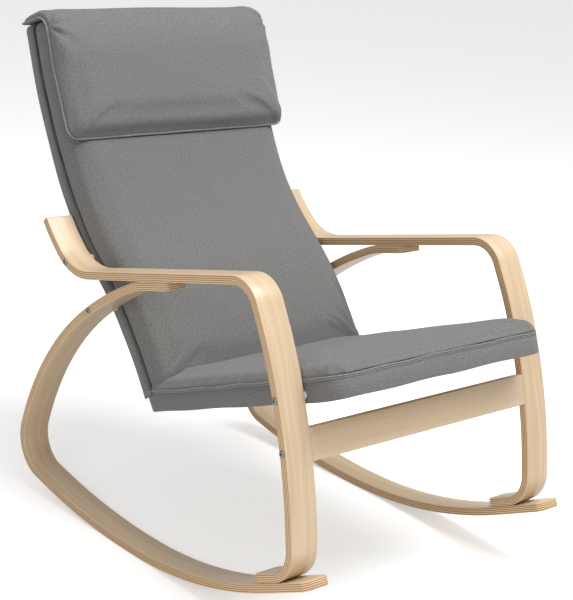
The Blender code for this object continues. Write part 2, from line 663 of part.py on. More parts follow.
places = (("tail_bolt", tail_bolt, "arm", back_cushion),
          ("arc_bolt", arc_bolt, "rocker", back_cushion),
          ("seat_bolt", seat_bolt, "arm", seat_cushion))
for word, side in sides:
    for name, at, strip, cover in places:
        place(word + "_" + name, frame_bolt, STEEL, point(side * (X_OUT + GAP), at), across(side))
        cut_away(strips[word, strip], cutter(word + "_" + name + "_bore", bore_data,
                                             point(side * X_OUT, at), across(side)))
        cut_away(frame_rails[word], cutter(word + "_" + name + "_nut_bore", nut_bore_data,
                                           point(side * X_RAIL_OUT, at), across(side)))
        place(word + "_" + name + "_nut", nut_data, STEEL,
              point(side * (X_RAIL_OUT - (FRAME_RAIL_WIDTH - NUT_LENGTH) / 2), at), across(side))
        place(word + "_" + name + "_spacer", spacer_data, NYLON, point(side * (X_IN - GAP), at), across(side))
        cut_away(cover, cutter(word + "_" + name + "_hole", hole_data, point(side * X_IN, at), across(side)))
    place(word + "_rail_bolt", rail_bolt_data, STEEL, point(side * (X_OUT + GAP), rail_bolt), across(side))
    cut_away(strips[word, "arm"], cutter(word + "_rail_bolt_bore", bore_data,
                                         point(side * X_OUT, rail_bolt), across(side)))
    cut_away(front_rail, cutter(word + "_rail_bore", rail_bore_data,
                                point(side * X_IN, rail_bolt), across(side)))
    place(word + "_rail_bolt_nut", nut_data, STEEL, point(side * (X_IN - GAP - NUT_RECESS), rail_bolt),
          across(side))

# ---------------------------------------------------------------- screws between the strips
both = ROCKER_THICKNESS + GAP + ARM_THICKNESS
sunk = SCREW_HEAD_HEIGHT + 2 * GAP
screw_length = both - sunk - SCREW_TIP_WALL
screw_data = socket_bolt("strip_screw", SCREW_RADIUS, screw_length, SCREW_HEAD_RADIUS, SCREW_HEAD_HEIGHT,
                         BOLT_SOCKET_RADIUS)
screw_bore = turned("screw_bore", [(SCREW_HEAD_RADIUS + GAP, -2 * BORE_RUNOUT),
                                   (SCREW_HEAD_RADIUS + GAP, sunk), (SCREW_RADIUS + GAP, sunk),
                                   (SCREW_RADIUS + GAP, sunk + screw_length + GAP)])


def strip_screw(name, word, x, surface, inward):
    """A screw set in a surface point (fore, up) of the rocker, along a unit direction."""
    axis = Vector((0.0, -inward[0], inward[1]))
    turn = axis.to_track_quat("Z", "X").to_euler()
    base = Vector((x, -surface[0], surface[1]))
    place(name, screw_data, DARK, base + axis * (sunk - GAP), turn)
    tool = cutter(name + "_bore", screw_bore, base, turn)
    cut_away(strips[word, "rocker"], tool)
    cut_away(strips[word, "arm"], tool)


arm_screw_at = station_at(rocker_outer, ARM_SCREW_BACK)
foot_front = station_at(arm_outer, arm_total - FOOT_SCREW_BACK)
runner_under = rocker_outer[len(rocker_outer) // 3:]
foot_screw_at = station_at(runner_under, distance_where(runner_under, lambda s: s[0] - foot_front[0]))
for word, side in sides:
    x_mid = side * (X_OUT + X_IN) / 2
    down = aside(arm_screw_at, -ROCKER_THICKNESS)
    towards = (math.sin(arm_screw_at[2]), -math.cos(arm_screw_at[2]))
    strip_screw(word + "_arm_screw", word, x_mid, down, towards)
    up = (-math.sin(foot_screw_at[2]), math.cos(foot_screw_at[2]))
    for label, shift in (("outer", 0.5), ("inner", -0.5)):
        strip_screw(word + "_foot_screw_" + label, word, x_mid + side * shift * SCREW_SPACING,
                    foot_screw_at[:2], up)

# ---------------------------------------------------------------- origin under the chair's middle
lean = Matrix.Rotation(math.radians(-STANCE), 4, "X")
for item in bpy.context.scene.collection.objects:
    item.matrix_world = lean @ (Matrix.Translation(item.location) @ item.rotation_euler.to_matrix().to_4x4())
bpy.context.view_layer.update()
graph = bpy.context.evaluated_depsgraph_get()
low = Vector((1e9, 1e9, 1e9))
high = Vector((-1e9, -1e9, -1e9))
for item in everything:
    shape = item.evaluated_get(graph)
    for vertex in shape.data.vertices:
        spot = shape.matrix_world @ vertex.co
        low = Vector(map(min, low, spot))
        high = Vector(map(max, high, spot))
shift = Vector((-(low.x + high.x) / 2, -(low.y + high.y) / 2, -low.z))
for item in bpy.context.scene.collection.objects:
    item.location += shift

for item in everything:
    item.data.shade_smooth()
    item.data.set_sharp_from_angle(angle=math.radians(30))
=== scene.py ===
"""Bentwood rocking chair: the finished wood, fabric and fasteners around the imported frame.

Metres, +Z up, the sitter faces -Y. Every shape follows the side line of a strip or of
the inner frame, which is read from the frame's own solids, and is placed by three
piece coordinates: run along that line, across the chair (X), and lift off the line.
"""

import math
from collections import namedtuple

import bpy
import numpy as np
from bpy.props import FloatProperty, FloatVectorProperty, IntProperty, PointerProperty
from mathutils import Matrix, Vector


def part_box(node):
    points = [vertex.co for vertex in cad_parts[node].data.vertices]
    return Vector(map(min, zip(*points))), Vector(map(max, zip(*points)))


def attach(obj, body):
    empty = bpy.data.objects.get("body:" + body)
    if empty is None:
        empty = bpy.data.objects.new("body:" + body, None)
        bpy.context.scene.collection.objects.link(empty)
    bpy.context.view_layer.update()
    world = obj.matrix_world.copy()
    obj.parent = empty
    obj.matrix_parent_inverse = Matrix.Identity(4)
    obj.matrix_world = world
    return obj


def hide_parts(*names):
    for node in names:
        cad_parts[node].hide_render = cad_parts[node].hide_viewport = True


bl_info = {
    "name": "Bentwood rocking chair",
    "version": (1, 0, 0),
    "blender": (4, 5, 0),
    "location": "View3D > Sidebar > Rocking chair",
    "description": "Builds the finished surfaces of a bentwood rocking chair around its frame",
    "category": "Object",
}

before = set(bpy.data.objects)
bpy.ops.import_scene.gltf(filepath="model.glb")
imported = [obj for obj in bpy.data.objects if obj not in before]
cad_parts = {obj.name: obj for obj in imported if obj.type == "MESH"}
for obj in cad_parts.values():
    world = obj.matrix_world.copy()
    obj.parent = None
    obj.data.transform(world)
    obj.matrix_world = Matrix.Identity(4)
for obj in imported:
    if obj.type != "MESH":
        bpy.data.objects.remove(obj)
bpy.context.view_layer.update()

MM = 0.001
CLIPPED_END = 0.0095             # corners cut off a strip's end
COVER_WALL = 0.0035              # thickness of the covers' plain bands
SEAT_HEEL = 0.014                # radius of the seat cover's lower rear corners
HEADREST_START = 0.002           # run and lift of the headrest's seam
HEADREST_BEND = 0.105            # run at which the headrest folds over the back's top edge
HEADREST_COVERS = 0.275          # how much of the back's run lies under the headrest
HEADREST_OFF = 0.0045            # gap between the headrest and the back's front
HEADREST_OVER = 0.0015           # and over the back's top edge
HEADREST_CORNER = 0.030          # radius of the headrest's inner side at the top edge
HEADREST_THICK = 0.036           # thickness of the headrest pad before it is filled
FLOOR_REACH = 40.0
FLOOR_GLOW = 0.42                # light added to the floor in the camera's eyes only
CAMERA_SPOT = (-1.9354, -2.2013, 1.3291)
CAMERA_RIGHT = Vector((0.7577, -0.6488, 0.0701))
CAMERA_BACK = Vector((-0.6399, -0.7173, 0.2757))
CAMERA_LENS = 91.22
CAMERA_SHIFT = (0.0056, -0.0187)
GATHER_DEPTH = 0.006             # depth of the gathers at the headrest's top corners
ROUND_TAIL = 0.005               # radius over the thickness of an armrest's tail
SHARP_TURN = 35.0                # degrees over which a turned piece's edge stays sharp


# ---------------------------------------------------------------- side lines from the frame
Line = namedtuple("Line", "spot along inward run thickness")


def node_spots(node):
    """World points of all corners of a CAD node."""
    return np.array([v.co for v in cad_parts[node].data.vertices], float)


def side_outline(node, share):
    """The node's outline (y, z) in the side plane at a share of its width.

    Each triangle that the plane cuts gives one piece of the outline; the pieces are
    joined end to end, the longest loop is kept, and its in-line points are dropped."""
    low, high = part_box(node)
    plane = low.x + share * (high.x - low.x)
    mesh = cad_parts[node].data
    mesh.calc_loop_triangles()
    spots = node_spots(node)
    links = {}
    for triangle in mesh.loop_triangles:
        corners = spots[list(triangle.vertices)]
        ends = []
        for a, b in ((0, 1), (1, 2), (2, 0)):
            p, q = sorted((corners[a], corners[b]), key=lambda c: c[0])
            if p[0] < plane <= q[0]:
                cut = p + (q - p) * (plane - p[0]) / (q[0] - p[0])
                ends.append((round(cut[1], 6), round(cut[2], 6)))
        if len(ends) == 2 and ends[0] != ends[1]:
            links.setdefault(ends[0], set()).add(ends[1])
            links.setdefault(ends[1], set()).add(ends[0])
    best = []
    while links:
        here = next(iter(links))
        loop = []
        while here is not None:
            loop.append(here)
            near = links.pop(here)
            here = next((p for p in near if p in links), None)
        if len(loop) > len(best):
            best = loop
    outline = np.array(best)
    step = np.roll(outline, -1, 0) - outline
    step /= np.linalg.norm(step, axis=1)[:, None]
    before = np.roll(step, 1, 0)
    turn = np.abs(before[:, 0] * step[:, 1] - before[:, 1] * step[:, 0])
    return outline[turn > 0.002]


def smooth_line(corners, spacing):
    """A smooth curve through corner points: cubic Hermite pieces, whose tangent at a
    corner is the mean of the two edges there, weighted by their lengths."""
    step = np.diff(corners, axis=0)
    size = np.linalg.norm(step, axis=1)
    tangent = np.vstack([step[:1], step[:-1] + step[1:], step[-1:]])
    tangent /= np.linalg.norm(tangent, axis=1)[:, None]
    parts = []
    for k, length in enumerate(size):
        t = np.linspace(0.0, 1.0, max(2, int(length / spacing) + 1), endpoint=False)[:, None]
        start = (2 * t ** 3 - 3 * t ** 2 + 1) * corners[k]
        leaving = (t ** 3 - 2 * t ** 2 + t) * length * tangent[k]
        stop = (3 * t ** 2 - 2 * t ** 3) * corners[k + 1]
        arriving = (t ** 3 - t ** 2) * length * tangent[k + 1]
        parts.append(start + leaving + stop + arriving)
    return np.vstack(parts + [corners[-1:]])


def line_through(spots, inward_side, thickness=0.0):
    """A Line from dense side-plane points; inward is the left of travel at side 1."""
    run = np.concatenate([[0.0], np.cumsum(np.linalg.norm(np.diff(spots, axis=0), axis=1))])
    along = np.gradient(spots, run, axis=0)
    along /= np.linalg.norm(along, axis=1)[:, None]
    inward = inward_side * np.stack([-along[:, 1], along[:, 0]], axis=1)
    return Line(spots, along, inward, run, thickness)


def strip_line(node, first, share=0.1, sharp=8.0):
    """The smooth outer face line of a bent strip, from the end that lies furthest
    along the direction first.

    The corners that turn more than sharp degrees belong to the two ends. The two long
    chains of corners between them are the faces, and the longer chain is the outer."""
    outline = side_outline(node, share)
    step = np.roll(outline, -1, 0) - outline
    size = np.linalg.norm(step, axis=1)
    unit = step / size[:, None]
    before = np.roll(unit, 1, 0)
    turn = np.degrees(np.arctan2(before[:, 0] * unit[:, 1] - before[:, 1] * unit[:, 0],
                                 (before * unit).sum(1)))
    ends = np.flatnonzero(np.abs(turn) > sharp)
    count = len(outline)
    chains = []
    for a, b in zip(ends, np.roll(ends, -1)):
        index = np.arange(a, b + 1 if b > a else b + count + 1) % count
        chains.append(outline[index])
    chains.sort(key=lambda c: np.linalg.norm(np.diff(c, axis=0), axis=1).sum())
    outer, inner = chains[-1], chains[-2]
    if (outer[0] - outer[-1]) @ np.array(first) < 0.0:
        outer = outer[::-1]
    solid = node_spots(node)[:, 1:]
    for end, near in ((0, 1), (-1, -2)):
        outward = (outer[end] - outer[near]) / np.linalg.norm(outer[end] - outer[near])
        close = solid[np.linalg.norm(solid - outer[end], axis=1) < 0.035]
        outer[end] = outer[end] + outward * max(0.0, ((close - outer[end]) @ outward).max())
    dense = smooth_line(outer, 0.006)
    middle = len(dense) // 2
    gaps = inner - dense[middle]
    nearest = gaps[np.argmin((gaps ** 2).sum(1))]
    ahead = dense[middle + 1] - dense[middle]
    side = 1.0 if ahead[0] * nearest[1] - ahead[1] * nearest[0] > 0.0 else -1.0
    half = size.sum() / 2.0
    after = np.roll(outline, -1, 0)
    area = 0.5 * abs((outline[:, 0] * after[:, 1] - outline[:, 1] * after[:, 0]).sum())
    thickness = 0.5 * (half - math.sqrt(half * half - 4.0 * area))
    return line_through(dense, side, thickness)


def on_line(line, run, lift):
    """Side-plane points (y, z) at a run along a line and a lift towards its inner side,
    straight on past the line's ends."""
    inside = np.clip(run, 0.0, line.run[-1])
    past = run - inside
    parts = []
    for axis in (0, 1):
        parts.append(np.interp(inside, line.run, line.spot[:, axis])
                     + past * np.interp(inside, line.run, line.along[:, axis])
                     + lift * np.interp(inside, line.run, line.inward[:, axis]))
    return parts


def on_piece(line, places):
    """World points of piece coordinates (run, across, lift) on a side line."""
    y, z = on_line(line, places[..., 0], places[..., 2])
    return np.stack([places[..., 1], y, z], axis=-1)


ARM_LINE = strip_line("right_arm_leg", (1.0, 0.0))
ROCKER_LINE = strip_line("right_rocker", (0.0, 1.0))
FRAME_LINE = strip_line("right_frame_rail", (-1.0, 0.0))
HALF_FRAME = FRAME_LINE.thickness / 2.0


# ---------------------------------------------------------------- meshes
def grid_faces(rows, columns, wrap):
    """Corner numbers of the quads of a grid, rows by columns, whose columns close up if wrap."""
    row = np.arange(rows - 1)[:, None]
    column = np.arange(columns if wrap else columns - 1)[None]
    after = (column + 1) % columns
    quads = np.stack([row * columns + column, row * columns + after,
                      (row + 1) * columns + after, (row + 1) * columns + column], axis=-1)
    return quads.reshape(-1, 4)


def tube_faces(rows, columns, closed=False):
    """Faces of a tube of rings: joined end to end if closed, otherwise with flat caps."""
    faces = grid_faces(rows, columns, True)
    if closed:
        last = grid_faces(2, columns, True)
        faces = np.vstack([faces, np.where(last < columns, last + (rows - 1) * columns, last - columns)])
    faces = [tuple(f) for f in faces]
    if not closed:
        faces += [tuple(range(columns))[::-1], tuple(range((rows - 1) * columns, rows * columns))]
    return faces


def set_uv(mesh, places):
    """Gives each face corner the two piece coordinates in which its face lies flattest,
    and returns for each face the coordinate left out."""
    corners = np.empty(len(mesh.loops), np.int32)
    mesh.loops.foreach_get("vertex_index", corners)
    first = np.empty(len(mesh.polygons), np.int32)
    mesh.polygons.foreach_get("loop_start", first)
    total = np.empty(len(mesh.polygons), np.int32)
    mesh.polygons.foreach_get("loop_total", total)
    a, b, c = (places[corners[first + k]] for k in (0, 1, 2))
    out = np.argmax(np.abs(np.cross(b - a, c - b)), axis=1)
    axis = np.repeat(out, total)
    spots = places[corners]
    row = np.arange(len(corners))
    uv = np.stack([spots[row, np.where(axis == 0, 1, 0)], spots[row, np.where(axis == 2, 1, 2)]], axis=1)
    layer = mesh.uv_layers.get("Piece") or mesh.uv_layers.new(name="Piece")
    layer.data.foreach_set("uv", uv.astype(np.float32).ravel())
    return out


def new_piece(name, spots, faces, places, materials, body, nodes=(), edges_at=None):
    """A finished mesh object: faces smooth, UVs from piece coordinates, riding on a body,
    and standing for its CAD nodes. Faces that lie flattest in another
    coordinate than edges_at get the second material."""
    mesh = bpy.data.meshes.new(name)
    mesh.from_pydata(spots.reshape(-1, 3).tolist(), [], [list(f) for f in faces])
    mesh.update()
    out = set_uv(mesh, places.reshape(-1, 3))
    for each in materials:
        mesh.materials.append(each)
    if edges_at is not None:
        mesh.polygons.foreach_set("material_index", (out != edges_at).astype(np.int32))
    mesh.polygons.foreach_set("use_smooth", np.ones(len(mesh.polygons), bool))
    piece = bpy.data.objects.new(name, mesh)
    bpy.context.scene.collection.objects.link(piece)
    dress(piece, body, nodes)
    return piece


def dress(piece, body, nodes):
    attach(piece, body)
    if nodes:
        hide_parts(*nodes)


def face_out(mesh):
    """Turns a closed mesh's faces outwards, by the sign of its volume."""
    mesh.calc_loop_triangles()
    corners = np.array([t.vertices[:] for t in mesh.loop_triangles])
    spots = np.array([v.co for v in mesh.vertices], float)
    a, b, c = (spots[corners[:, k]] for k in (0, 1, 2))
    if (a * np.cross(b, c)).sum() < 0.0:
        mesh.flip_normals()


def remade(name):
    """Removes a piece that is already there, so that an operator can run again."""
    old = bpy.data.objects.get(name)
    if old:
        bpy.data.objects.remove(old, do_unlink=True)
    return name


def smooth_step(t):
    """3 t^2 - 2 t^3 between 0 and 1."""
    t = np.clip(t, 0.0, 1.0)
    return t * t * (3.0 - 2.0 * t)


def rounded_section(half_width, half_depth, radius, steps=4):
    """Points (across, lift) around a rectangle with quarter-circle corners."""
    angle = np.linspace(0.0, math.pi / 2.0, steps)
    corners = []
    for k, (sx, sy) in enumerate(((1, 1), (-1, 1), (-1, -1), (1, -1))):
        turn = angle + k * math.pi / 2.0
        corners.append(np.stack([sx * (half_width - radius) + radius * np.cos(turn),
                                 sy * (half_depth - radius) + radius * np.sin(turn)], axis=1))
    return np.vstack(corners)


def strip_mesh(name, line, x_middle, half_width, ends, ease, materials, nodes):
    """A bent strip: a rounded section carried along its line.

    ends holds for each end (clip, round): near an end the half width shrinks by
    clip minus the distance to the end, and the half depth follows a circle of radius
    round. Each end closes with a small eased ring and a flat cap."""
    half = line.thickness / 2.0
    total = line.run[-1]
    fine = np.array([0.0, 0.3, 1.0, 2.0, 3.0, 4.0, 5.0, 6.5, 8.0, 9.5, 11.0]) * MM
    middle = line.run[(line.run > 0.012) & (line.run < total - 0.012)]
    run = np.concatenate([fine, middle, total - fine[::-1]])
    section = rounded_section(half_width, half, ease)
    across = np.ones_like(run) * half_width
    depth = np.ones_like(run) * half
    for distance, (clip, radius) in zip((run, total - run), ends):
        across -= np.maximum(0.0, clip - distance)
        if radius:
            reach = np.clip(radius - distance, 0.0, radius)
            depth -= radius - np.sqrt(radius ** 2 - reach ** 2)
        across -= np.maximum(0.0, ease - distance) * 0.6
        depth -= np.maximum(0.0, ease - distance) * (0.0 if radius else 0.6)
    ring = section[None] * np.stack([across / half_width, depth / half], axis=1)[:, None]
    places = np.concatenate([np.broadcast_to(run[:, None, None], ring.shape[:2] + (1,)),
                             ring + np.array([x_middle, half])], axis=2)
    piece = new_piece(name, on_piece(line, places), tube_faces(*places.shape[:2]), places, materials, "chair",
                      nodes, edges_at=2)
    face_out(piece.data)
    return piece


def heading(path, closed):
    """Unit directions along a path of points."""
    ahead = np.roll(path, -1, 0) - np.roll(path, 1, 0) if closed else np.gradient(path, axis=0)
    return ahead / np.linalg.norm(ahead, axis=1)[:, None]


def rope_mesh(name, path, radius, places, materials, body, around=8, closed=True):
    """A cord of round section carried along 3-D points: at each point the ring lies in
    the plane across the path."""
    ahead = heading(path, closed)
    helper = np.where(np.abs(ahead[:, :1]) > 0.8, np.array([[0.0, 0.0, 1.0]]), np.array([[1.0, 0.0, 0.0]]))
    up = np.cross(ahead, helper)
    up /= np.linalg.norm(up, axis=1)[:, None]
    over = np.cross(ahead, up)
    turn = np.linspace(0.0, 2.0 * math.pi, around, endpoint=False)
    size = np.broadcast_to(np.asarray(radius, float), (len(path),))[:, None, None]
    spots = path[:, None] + size * (np.cos(turn)[None, :, None] * up[:, None]
                                    + np.sin(turn)[None, :, None] * over[:, None])
    faces = tube_faces(len(path), around, closed)
    spread = np.stack([np.cos(turn), np.sin(turn)], axis=1) * 2.0 * MM
    where = places[:, None] + np.concatenate([np.zeros((around, 1)), spread], axis=1)[None]
    piece = new_piece(name, spots, faces, where, materials, body)
    face_out(piece.data)
    return piece


def turned_mesh(name, profile, centre, outward, sides, materials, body, nodes):
    """A turned piece about the X axis through centre. profile rows are (radius, height,
    share of hexagon); height runs outwards, and a share of 1 makes the ring a hexagon of
    that inner radius: r / cos((angle mod 60) - 30)."""
    turn = np.linspace(0.0, 2.0 * math.pi, sides, endpoint=False)
    hexagon = 1.0 / np.cos(np.mod(turn, math.pi / 3.0) - math.pi / 6.0)
    profile = np.array(profile)
    radius = profile[:, :1] * (1.0 + profile[:, 2:3] * (hexagon[None] - 1.0))
    height = np.broadcast_to(profile[:, 1:2], radius.shape)
    local = np.stack([outward * height, radius * np.cos(turn), radius * np.sin(turn)], axis=-1)
    piece = new_piece(name, local + np.array(centre), tube_faces(len(profile), sides), local, materials,
                      body, nodes)
    face_out(piece.data)
    piece.data.set_sharp_from_angle(angle=math.radians(SHARP_TURN))
    return piece


# ---------------------------------------------------------------- shader groups
def group(name, inputs, outputs):
    """A new shader node group with float or vector inputs (name, kind, value) and outputs
    (name, kind)."""
    tree = bpy.data.node_groups.new(name, "ShaderNodeTree")
    for label, kind, value in inputs:
        socket = tree.interface.new_socket(label, in_out="INPUT", socket_type=kind)
        if value is not None:
            socket.default_value = value
    for label, kind in outputs:
        tree.interface.new_socket(label, in_out="OUTPUT", socket_type=kind)
    return tree


def add(tree, kind, links=(), **settings):
    """A node with its settings, and its inputs set from sockets or plain values."""
    node = tree.nodes.new(kind)
    for key, value in settings.items():
        setattr(node, key, value)
    return fed(tree, node, links)


def fed(tree, node, links):
    """The node, after its inputs are linked to sockets or set to plain values."""
    for key, value in links:
        if isinstance(value, bpy.types.NodeSocket):
            tree.links.new(value, node.inputs[key])
        else:
            node.inputs[key].default_value = value
    return node


def maths(tree, operation, a, b=0.0, c=0.0):
    return add(tree, "ShaderNodeMath", ((0, a), (1, b), (2, c)), operation=operation).outputs[0]


def blended(tree, factor, a, b):
    """Colour mix of two colours by a factor."""
    return add(tree, "ShaderNodeMix", ((0, factor), (6, a), (7, b)), data_type="RGBA").outputs[2]


def stretched(tree, vector, scale):
    return add(tree, "ShaderNodeVectorMath", ((0, vector), (1, scale)), operation="MULTIPLY").outputs[0]


def noise(tree, vector, detail=2.0, roughness=0.5, scale=1.0):
    return add(tree, "ShaderNodeTexNoise", (("Vector", vector), ("Scale", scale), ("Detail", detail),
                                            ("Roughness", roughness))).outputs["Fac"]


def ramp(tree, value, low, high):
    """0 at low, 1 at high, straight between."""
    node = add(tree, "ShaderNodeMapRange", ((0, value), (1, low), (2, high), (3, 0.0), (4, 1.0)))
    return node.outputs[0]


def weave_group():
    """Plain weave on metric UVs: warp |sin(pi u / p)| and weft |sin(pi v / p)| take turns
    on top in a checker, long streaks of noise along each thread give the melange, slubs
    are pale thick spots in the yarn, and clouds are slow changes of tone."""
    tree = group("Woven melange",
                 (("Vector", "NodeSocketVector", None), ("Thread", "NodeSocketFloat", 0.0011)),
                 [(label, "NodeSocketFloat") for label in ("Height", "Melange", "Cloudy", "Slubs")])
    source = add(tree, "NodeGroupInput")
    parts = add(tree, "ShaderNodeSeparateXYZ", ((0, source.outputs["Vector"]),))
    waves = []
    for axis in (0, 1):
        turns = maths(tree, "DIVIDE", parts.outputs[axis], source.outputs["Thread"])
        waves.append(maths(tree, "SINE", maths(tree, "MULTIPLY", turns, math.pi)))
    over = maths(tree, "GREATER_THAN", maths(tree, "MULTIPLY", waves[0], waves[1]), 0.0)
    warp = maths(tree, "ABSOLUTE", waves[0])
    weft = maths(tree, "ABSOLUTE", waves[1])
    height = add(tree, "ShaderNodeMix", ((0, over), (2, warp), (3, weft)), data_type="FLOAT").outputs[0]
    along = noise(tree, stretched(tree, source.outputs["Vector"], (480.0, 110.0, 1.0)), 4.0, 0.85)
    crossing = noise(tree, stretched(tree, source.outputs["Vector"], (110.0, 480.0, 1.0)), 4.0, 0.85)
    streaks = add(tree, "ShaderNodeMix", ((0, over), (2, along), (3, crossing)), data_type="FLOAT").outputs[0]
    cloudy = noise(tree, stretched(tree, source.outputs["Vector"], (14.0, 14.0, 1.0)), 3.0, 0.55)
    slubs = noise(tree, stretched(tree, source.outputs["Vector"], (270.0, 330.0, 1.0)), 3.0, 0.8)
    add(tree, "NodeGroupOutput", (("Height", height), ("Melange", ramp(tree, streaks, 0.36, 0.64)),
                                  ("Cloudy", cloudy), ("Slubs", ramp(tree, slubs, 0.34, 0.66))))
    return tree


def grain_group():
    """Birch figure on metric UVs: fine fibres and a slow wavy figure, both drawn out along
    the run, and short dark flecks."""
    tree = group("Birch figure",
                 (("Vector", "NodeSocketVector", None), ("Along", "NodeSocketVector", (1.0, 1.0, 1.0))),
                 [(label, "NodeSocketFloat") for label in ("Figure", "Fibre", "Fleck")])
    source = add(tree, "NodeGroupInput")
    vector = add(tree, "ShaderNodeVectorMath", ((0, source.outputs["Vector"]), (1, source.outputs["Along"])),
                 operation="MULTIPLY").outputs[0]
    warp = noise(tree, stretched(tree, vector, (3.0, 22.0, 22.0)), 2.0, 0.5)
    sideways = maths(tree, "MULTIPLY", warp, 3.0)
    shift = add(tree, "ShaderNodeCombineXYZ", ((0, warp), (1, sideways))).outputs[0]
    bent = add(tree, "ShaderNodeVectorMath", ((0, stretched(tree, vector, (1.6, 60.0, 60.0))), (1, shift)),
               operation="ADD").outputs[0]
    figure = noise(tree, bent, 3.0, 0.55)
    fibre = noise(tree, stretched(tree, vector, (45.0, 1900.0, 1900.0)), 2.0, 0.6)
    fleck = ramp(tree, noise(tree, stretched(tree, vector, (160.0, 1500.0, 1500.0)), 1.0, 0.5), 0.66, 0.76)
    add(tree, "NodeGroupOutput", (("Figure", figure), ("Fibre", fibre), ("Fleck", fleck)))
    return tree


def surface(name, colour, roughness, metallic=0.0):
    """A material with a plain Principled shader; returns the material, tree and shader."""
    made = bpy.data.materials.new(name)
    made.use_nodes = True
    shader = made.node_tree.nodes["Principled BSDF"]
    shader.inputs["Base Color"].default_value = tuple(colour) + (1.0,)
    shader.inputs["Roughness"].default_value = roughness
    shader.inputs["Metallic"].default_value = metallic
    return made, made.node_tree, shader


def bumped(tree, shader, height, strength, distance):
    bump = add(tree, "ShaderNodeBump", (("Height", height), ("Strength", strength), ("Distance", distance)))
    tree.links.new(bump.outputs["Normal"], shader.inputs["Normal"])


def use_group(tree, name, builder, **values):
    made = bpy.data.node_groups.get(name) or builder()
    node = add(tree, "ShaderNodeGroup")
    node.node_tree = made
    return fed(tree, node, values.items())


def shade(colour, factor):
    return tuple(c * factor for c in colour) + (1.0,)


def tinted(colour, red, green, blue):
    return (colour[0] * red, colour[1] * green, colour[2] * blue, 1.0)


def birch_face(name, colour, along=(1.0, 1.0, 1.0)):
    """Lacquered birch veneer: pale ground, darker figure and fibres, small flecks."""
    made, tree, shader = surface(name, colour, 0.34)
    uv = add(tree, "ShaderNodeUVMap", uv_map="Piece").outputs[0]
    figure = use_group(tree, "Birch figure", grain_group, Vector=uv, Along=along)
    ground = blended(tree, ramp(tree, figure.outputs["Figure"], 0.35, 0.68), shade(colour, 1.05),
                     tinted(colour, 0.90, 0.84, 0.76))
    fibrous = maths(tree, "MULTIPLY", ramp(tree, figure.outputs["Fibre"], 0.3, 0.7), 0.30)
    fibres = blended(tree, fibrous, ground,
                     tinted(colour, 0.80, 0.72, 0.62))
    flecks = blended(tree, maths(tree, "MULTIPLY", figure.outputs["Fleck"], 0.55), fibres,
                     tinted(colour, 0.62, 0.50, 0.38))
    tree.links.new(flecks, shader.inputs["Base Color"])
    roughness = maths(tree, "MULTIPLY_ADD", figure.outputs["Fibre"], 0.16, 0.30)
    tree.links.new(roughness, shader.inputs["Roughness"])
    shader.inputs["Coat Weight"].default_value = 0.25
    shader.inputs["Coat Roughness"].default_value = 0.18
    bumped(tree, shader, figure.outputs["Fibre"], 0.10, 0.0004)
    return made


def ply_edge(name, colour, thickness, layers=9):
    """Plywood edge: layers of veneer that alternate pale long grain and dark end grain,
    their borders slightly wavy, with a dark glue line between them."""
    made, tree, shader = surface(name, colour, 0.48)
    uv = add(tree, "ShaderNodeUVMap", uv_map="Piece").outputs[0]
    parts = add(tree, "ShaderNodeSeparateXYZ", ((0, uv),))
    sway = noise(tree, stretched(tree, uv, (9.0, 60.0, 1.0)), 2.0, 0.5)
    level = maths(tree, "MULTIPLY_ADD", maths(tree, "SUBTRACT", sway, 0.5), 0.0009, parts.outputs[1])
    count = maths(tree, "MULTIPLY", level, layers / thickness)
    place = maths(tree, "FRACT", count)
    border = ramp(tree, maths(tree, "MINIMUM", place, maths(tree, "SUBTRACT", 1.0, place)), 0.16, 0.04)
    layer = maths(tree, "FLOOR", count)
    odd = maths(tree, "MODULO", layer, 2.0)
    slow_run = maths(tree, "MULTIPLY", parts.outputs[0], 5.0)
    apart = maths(tree, "MULTIPLY", layer, 3.7)
    variety = noise(tree, add(tree, "ShaderNodeCombineXYZ", ((0, slow_run), (1, apart))).outputs[0])
    pores = noise(tree, stretched(tree, uv, (700.0, 2600.0, 1.0)), 2.0, 0.6)
    long_grain = blended(tree, variety, shade(colour, 1.18), tinted(colour, 1.02, 0.98, 0.92))
    end_grain = blended(tree, variety, tinted(colour, 0.62, 0.48, 0.34),
                        tinted(colour, 0.44, 0.31, 0.20))
    veneer = blended(tree, odd, long_grain, end_grain)
    lined = blended(tree, maths(tree, "MULTIPLY", border, 0.45), veneer,
                    tinted(colour, 0.42, 0.30, 0.20))
    pored = blended(tree, maths(tree, "MULTIPLY", ramp(tree, pores, 0.45, 0.75), 0.22), lined,
                    tinted(colour, 0.45, 0.34, 0.24))
    tree.links.new(pored, shader.inputs["Base Color"])
    bumped(tree, shader, maths(tree, "ADD", maths(tree, "MULTIPLY", border, -1.0), pores), 0.15, 0.0003)
    return made


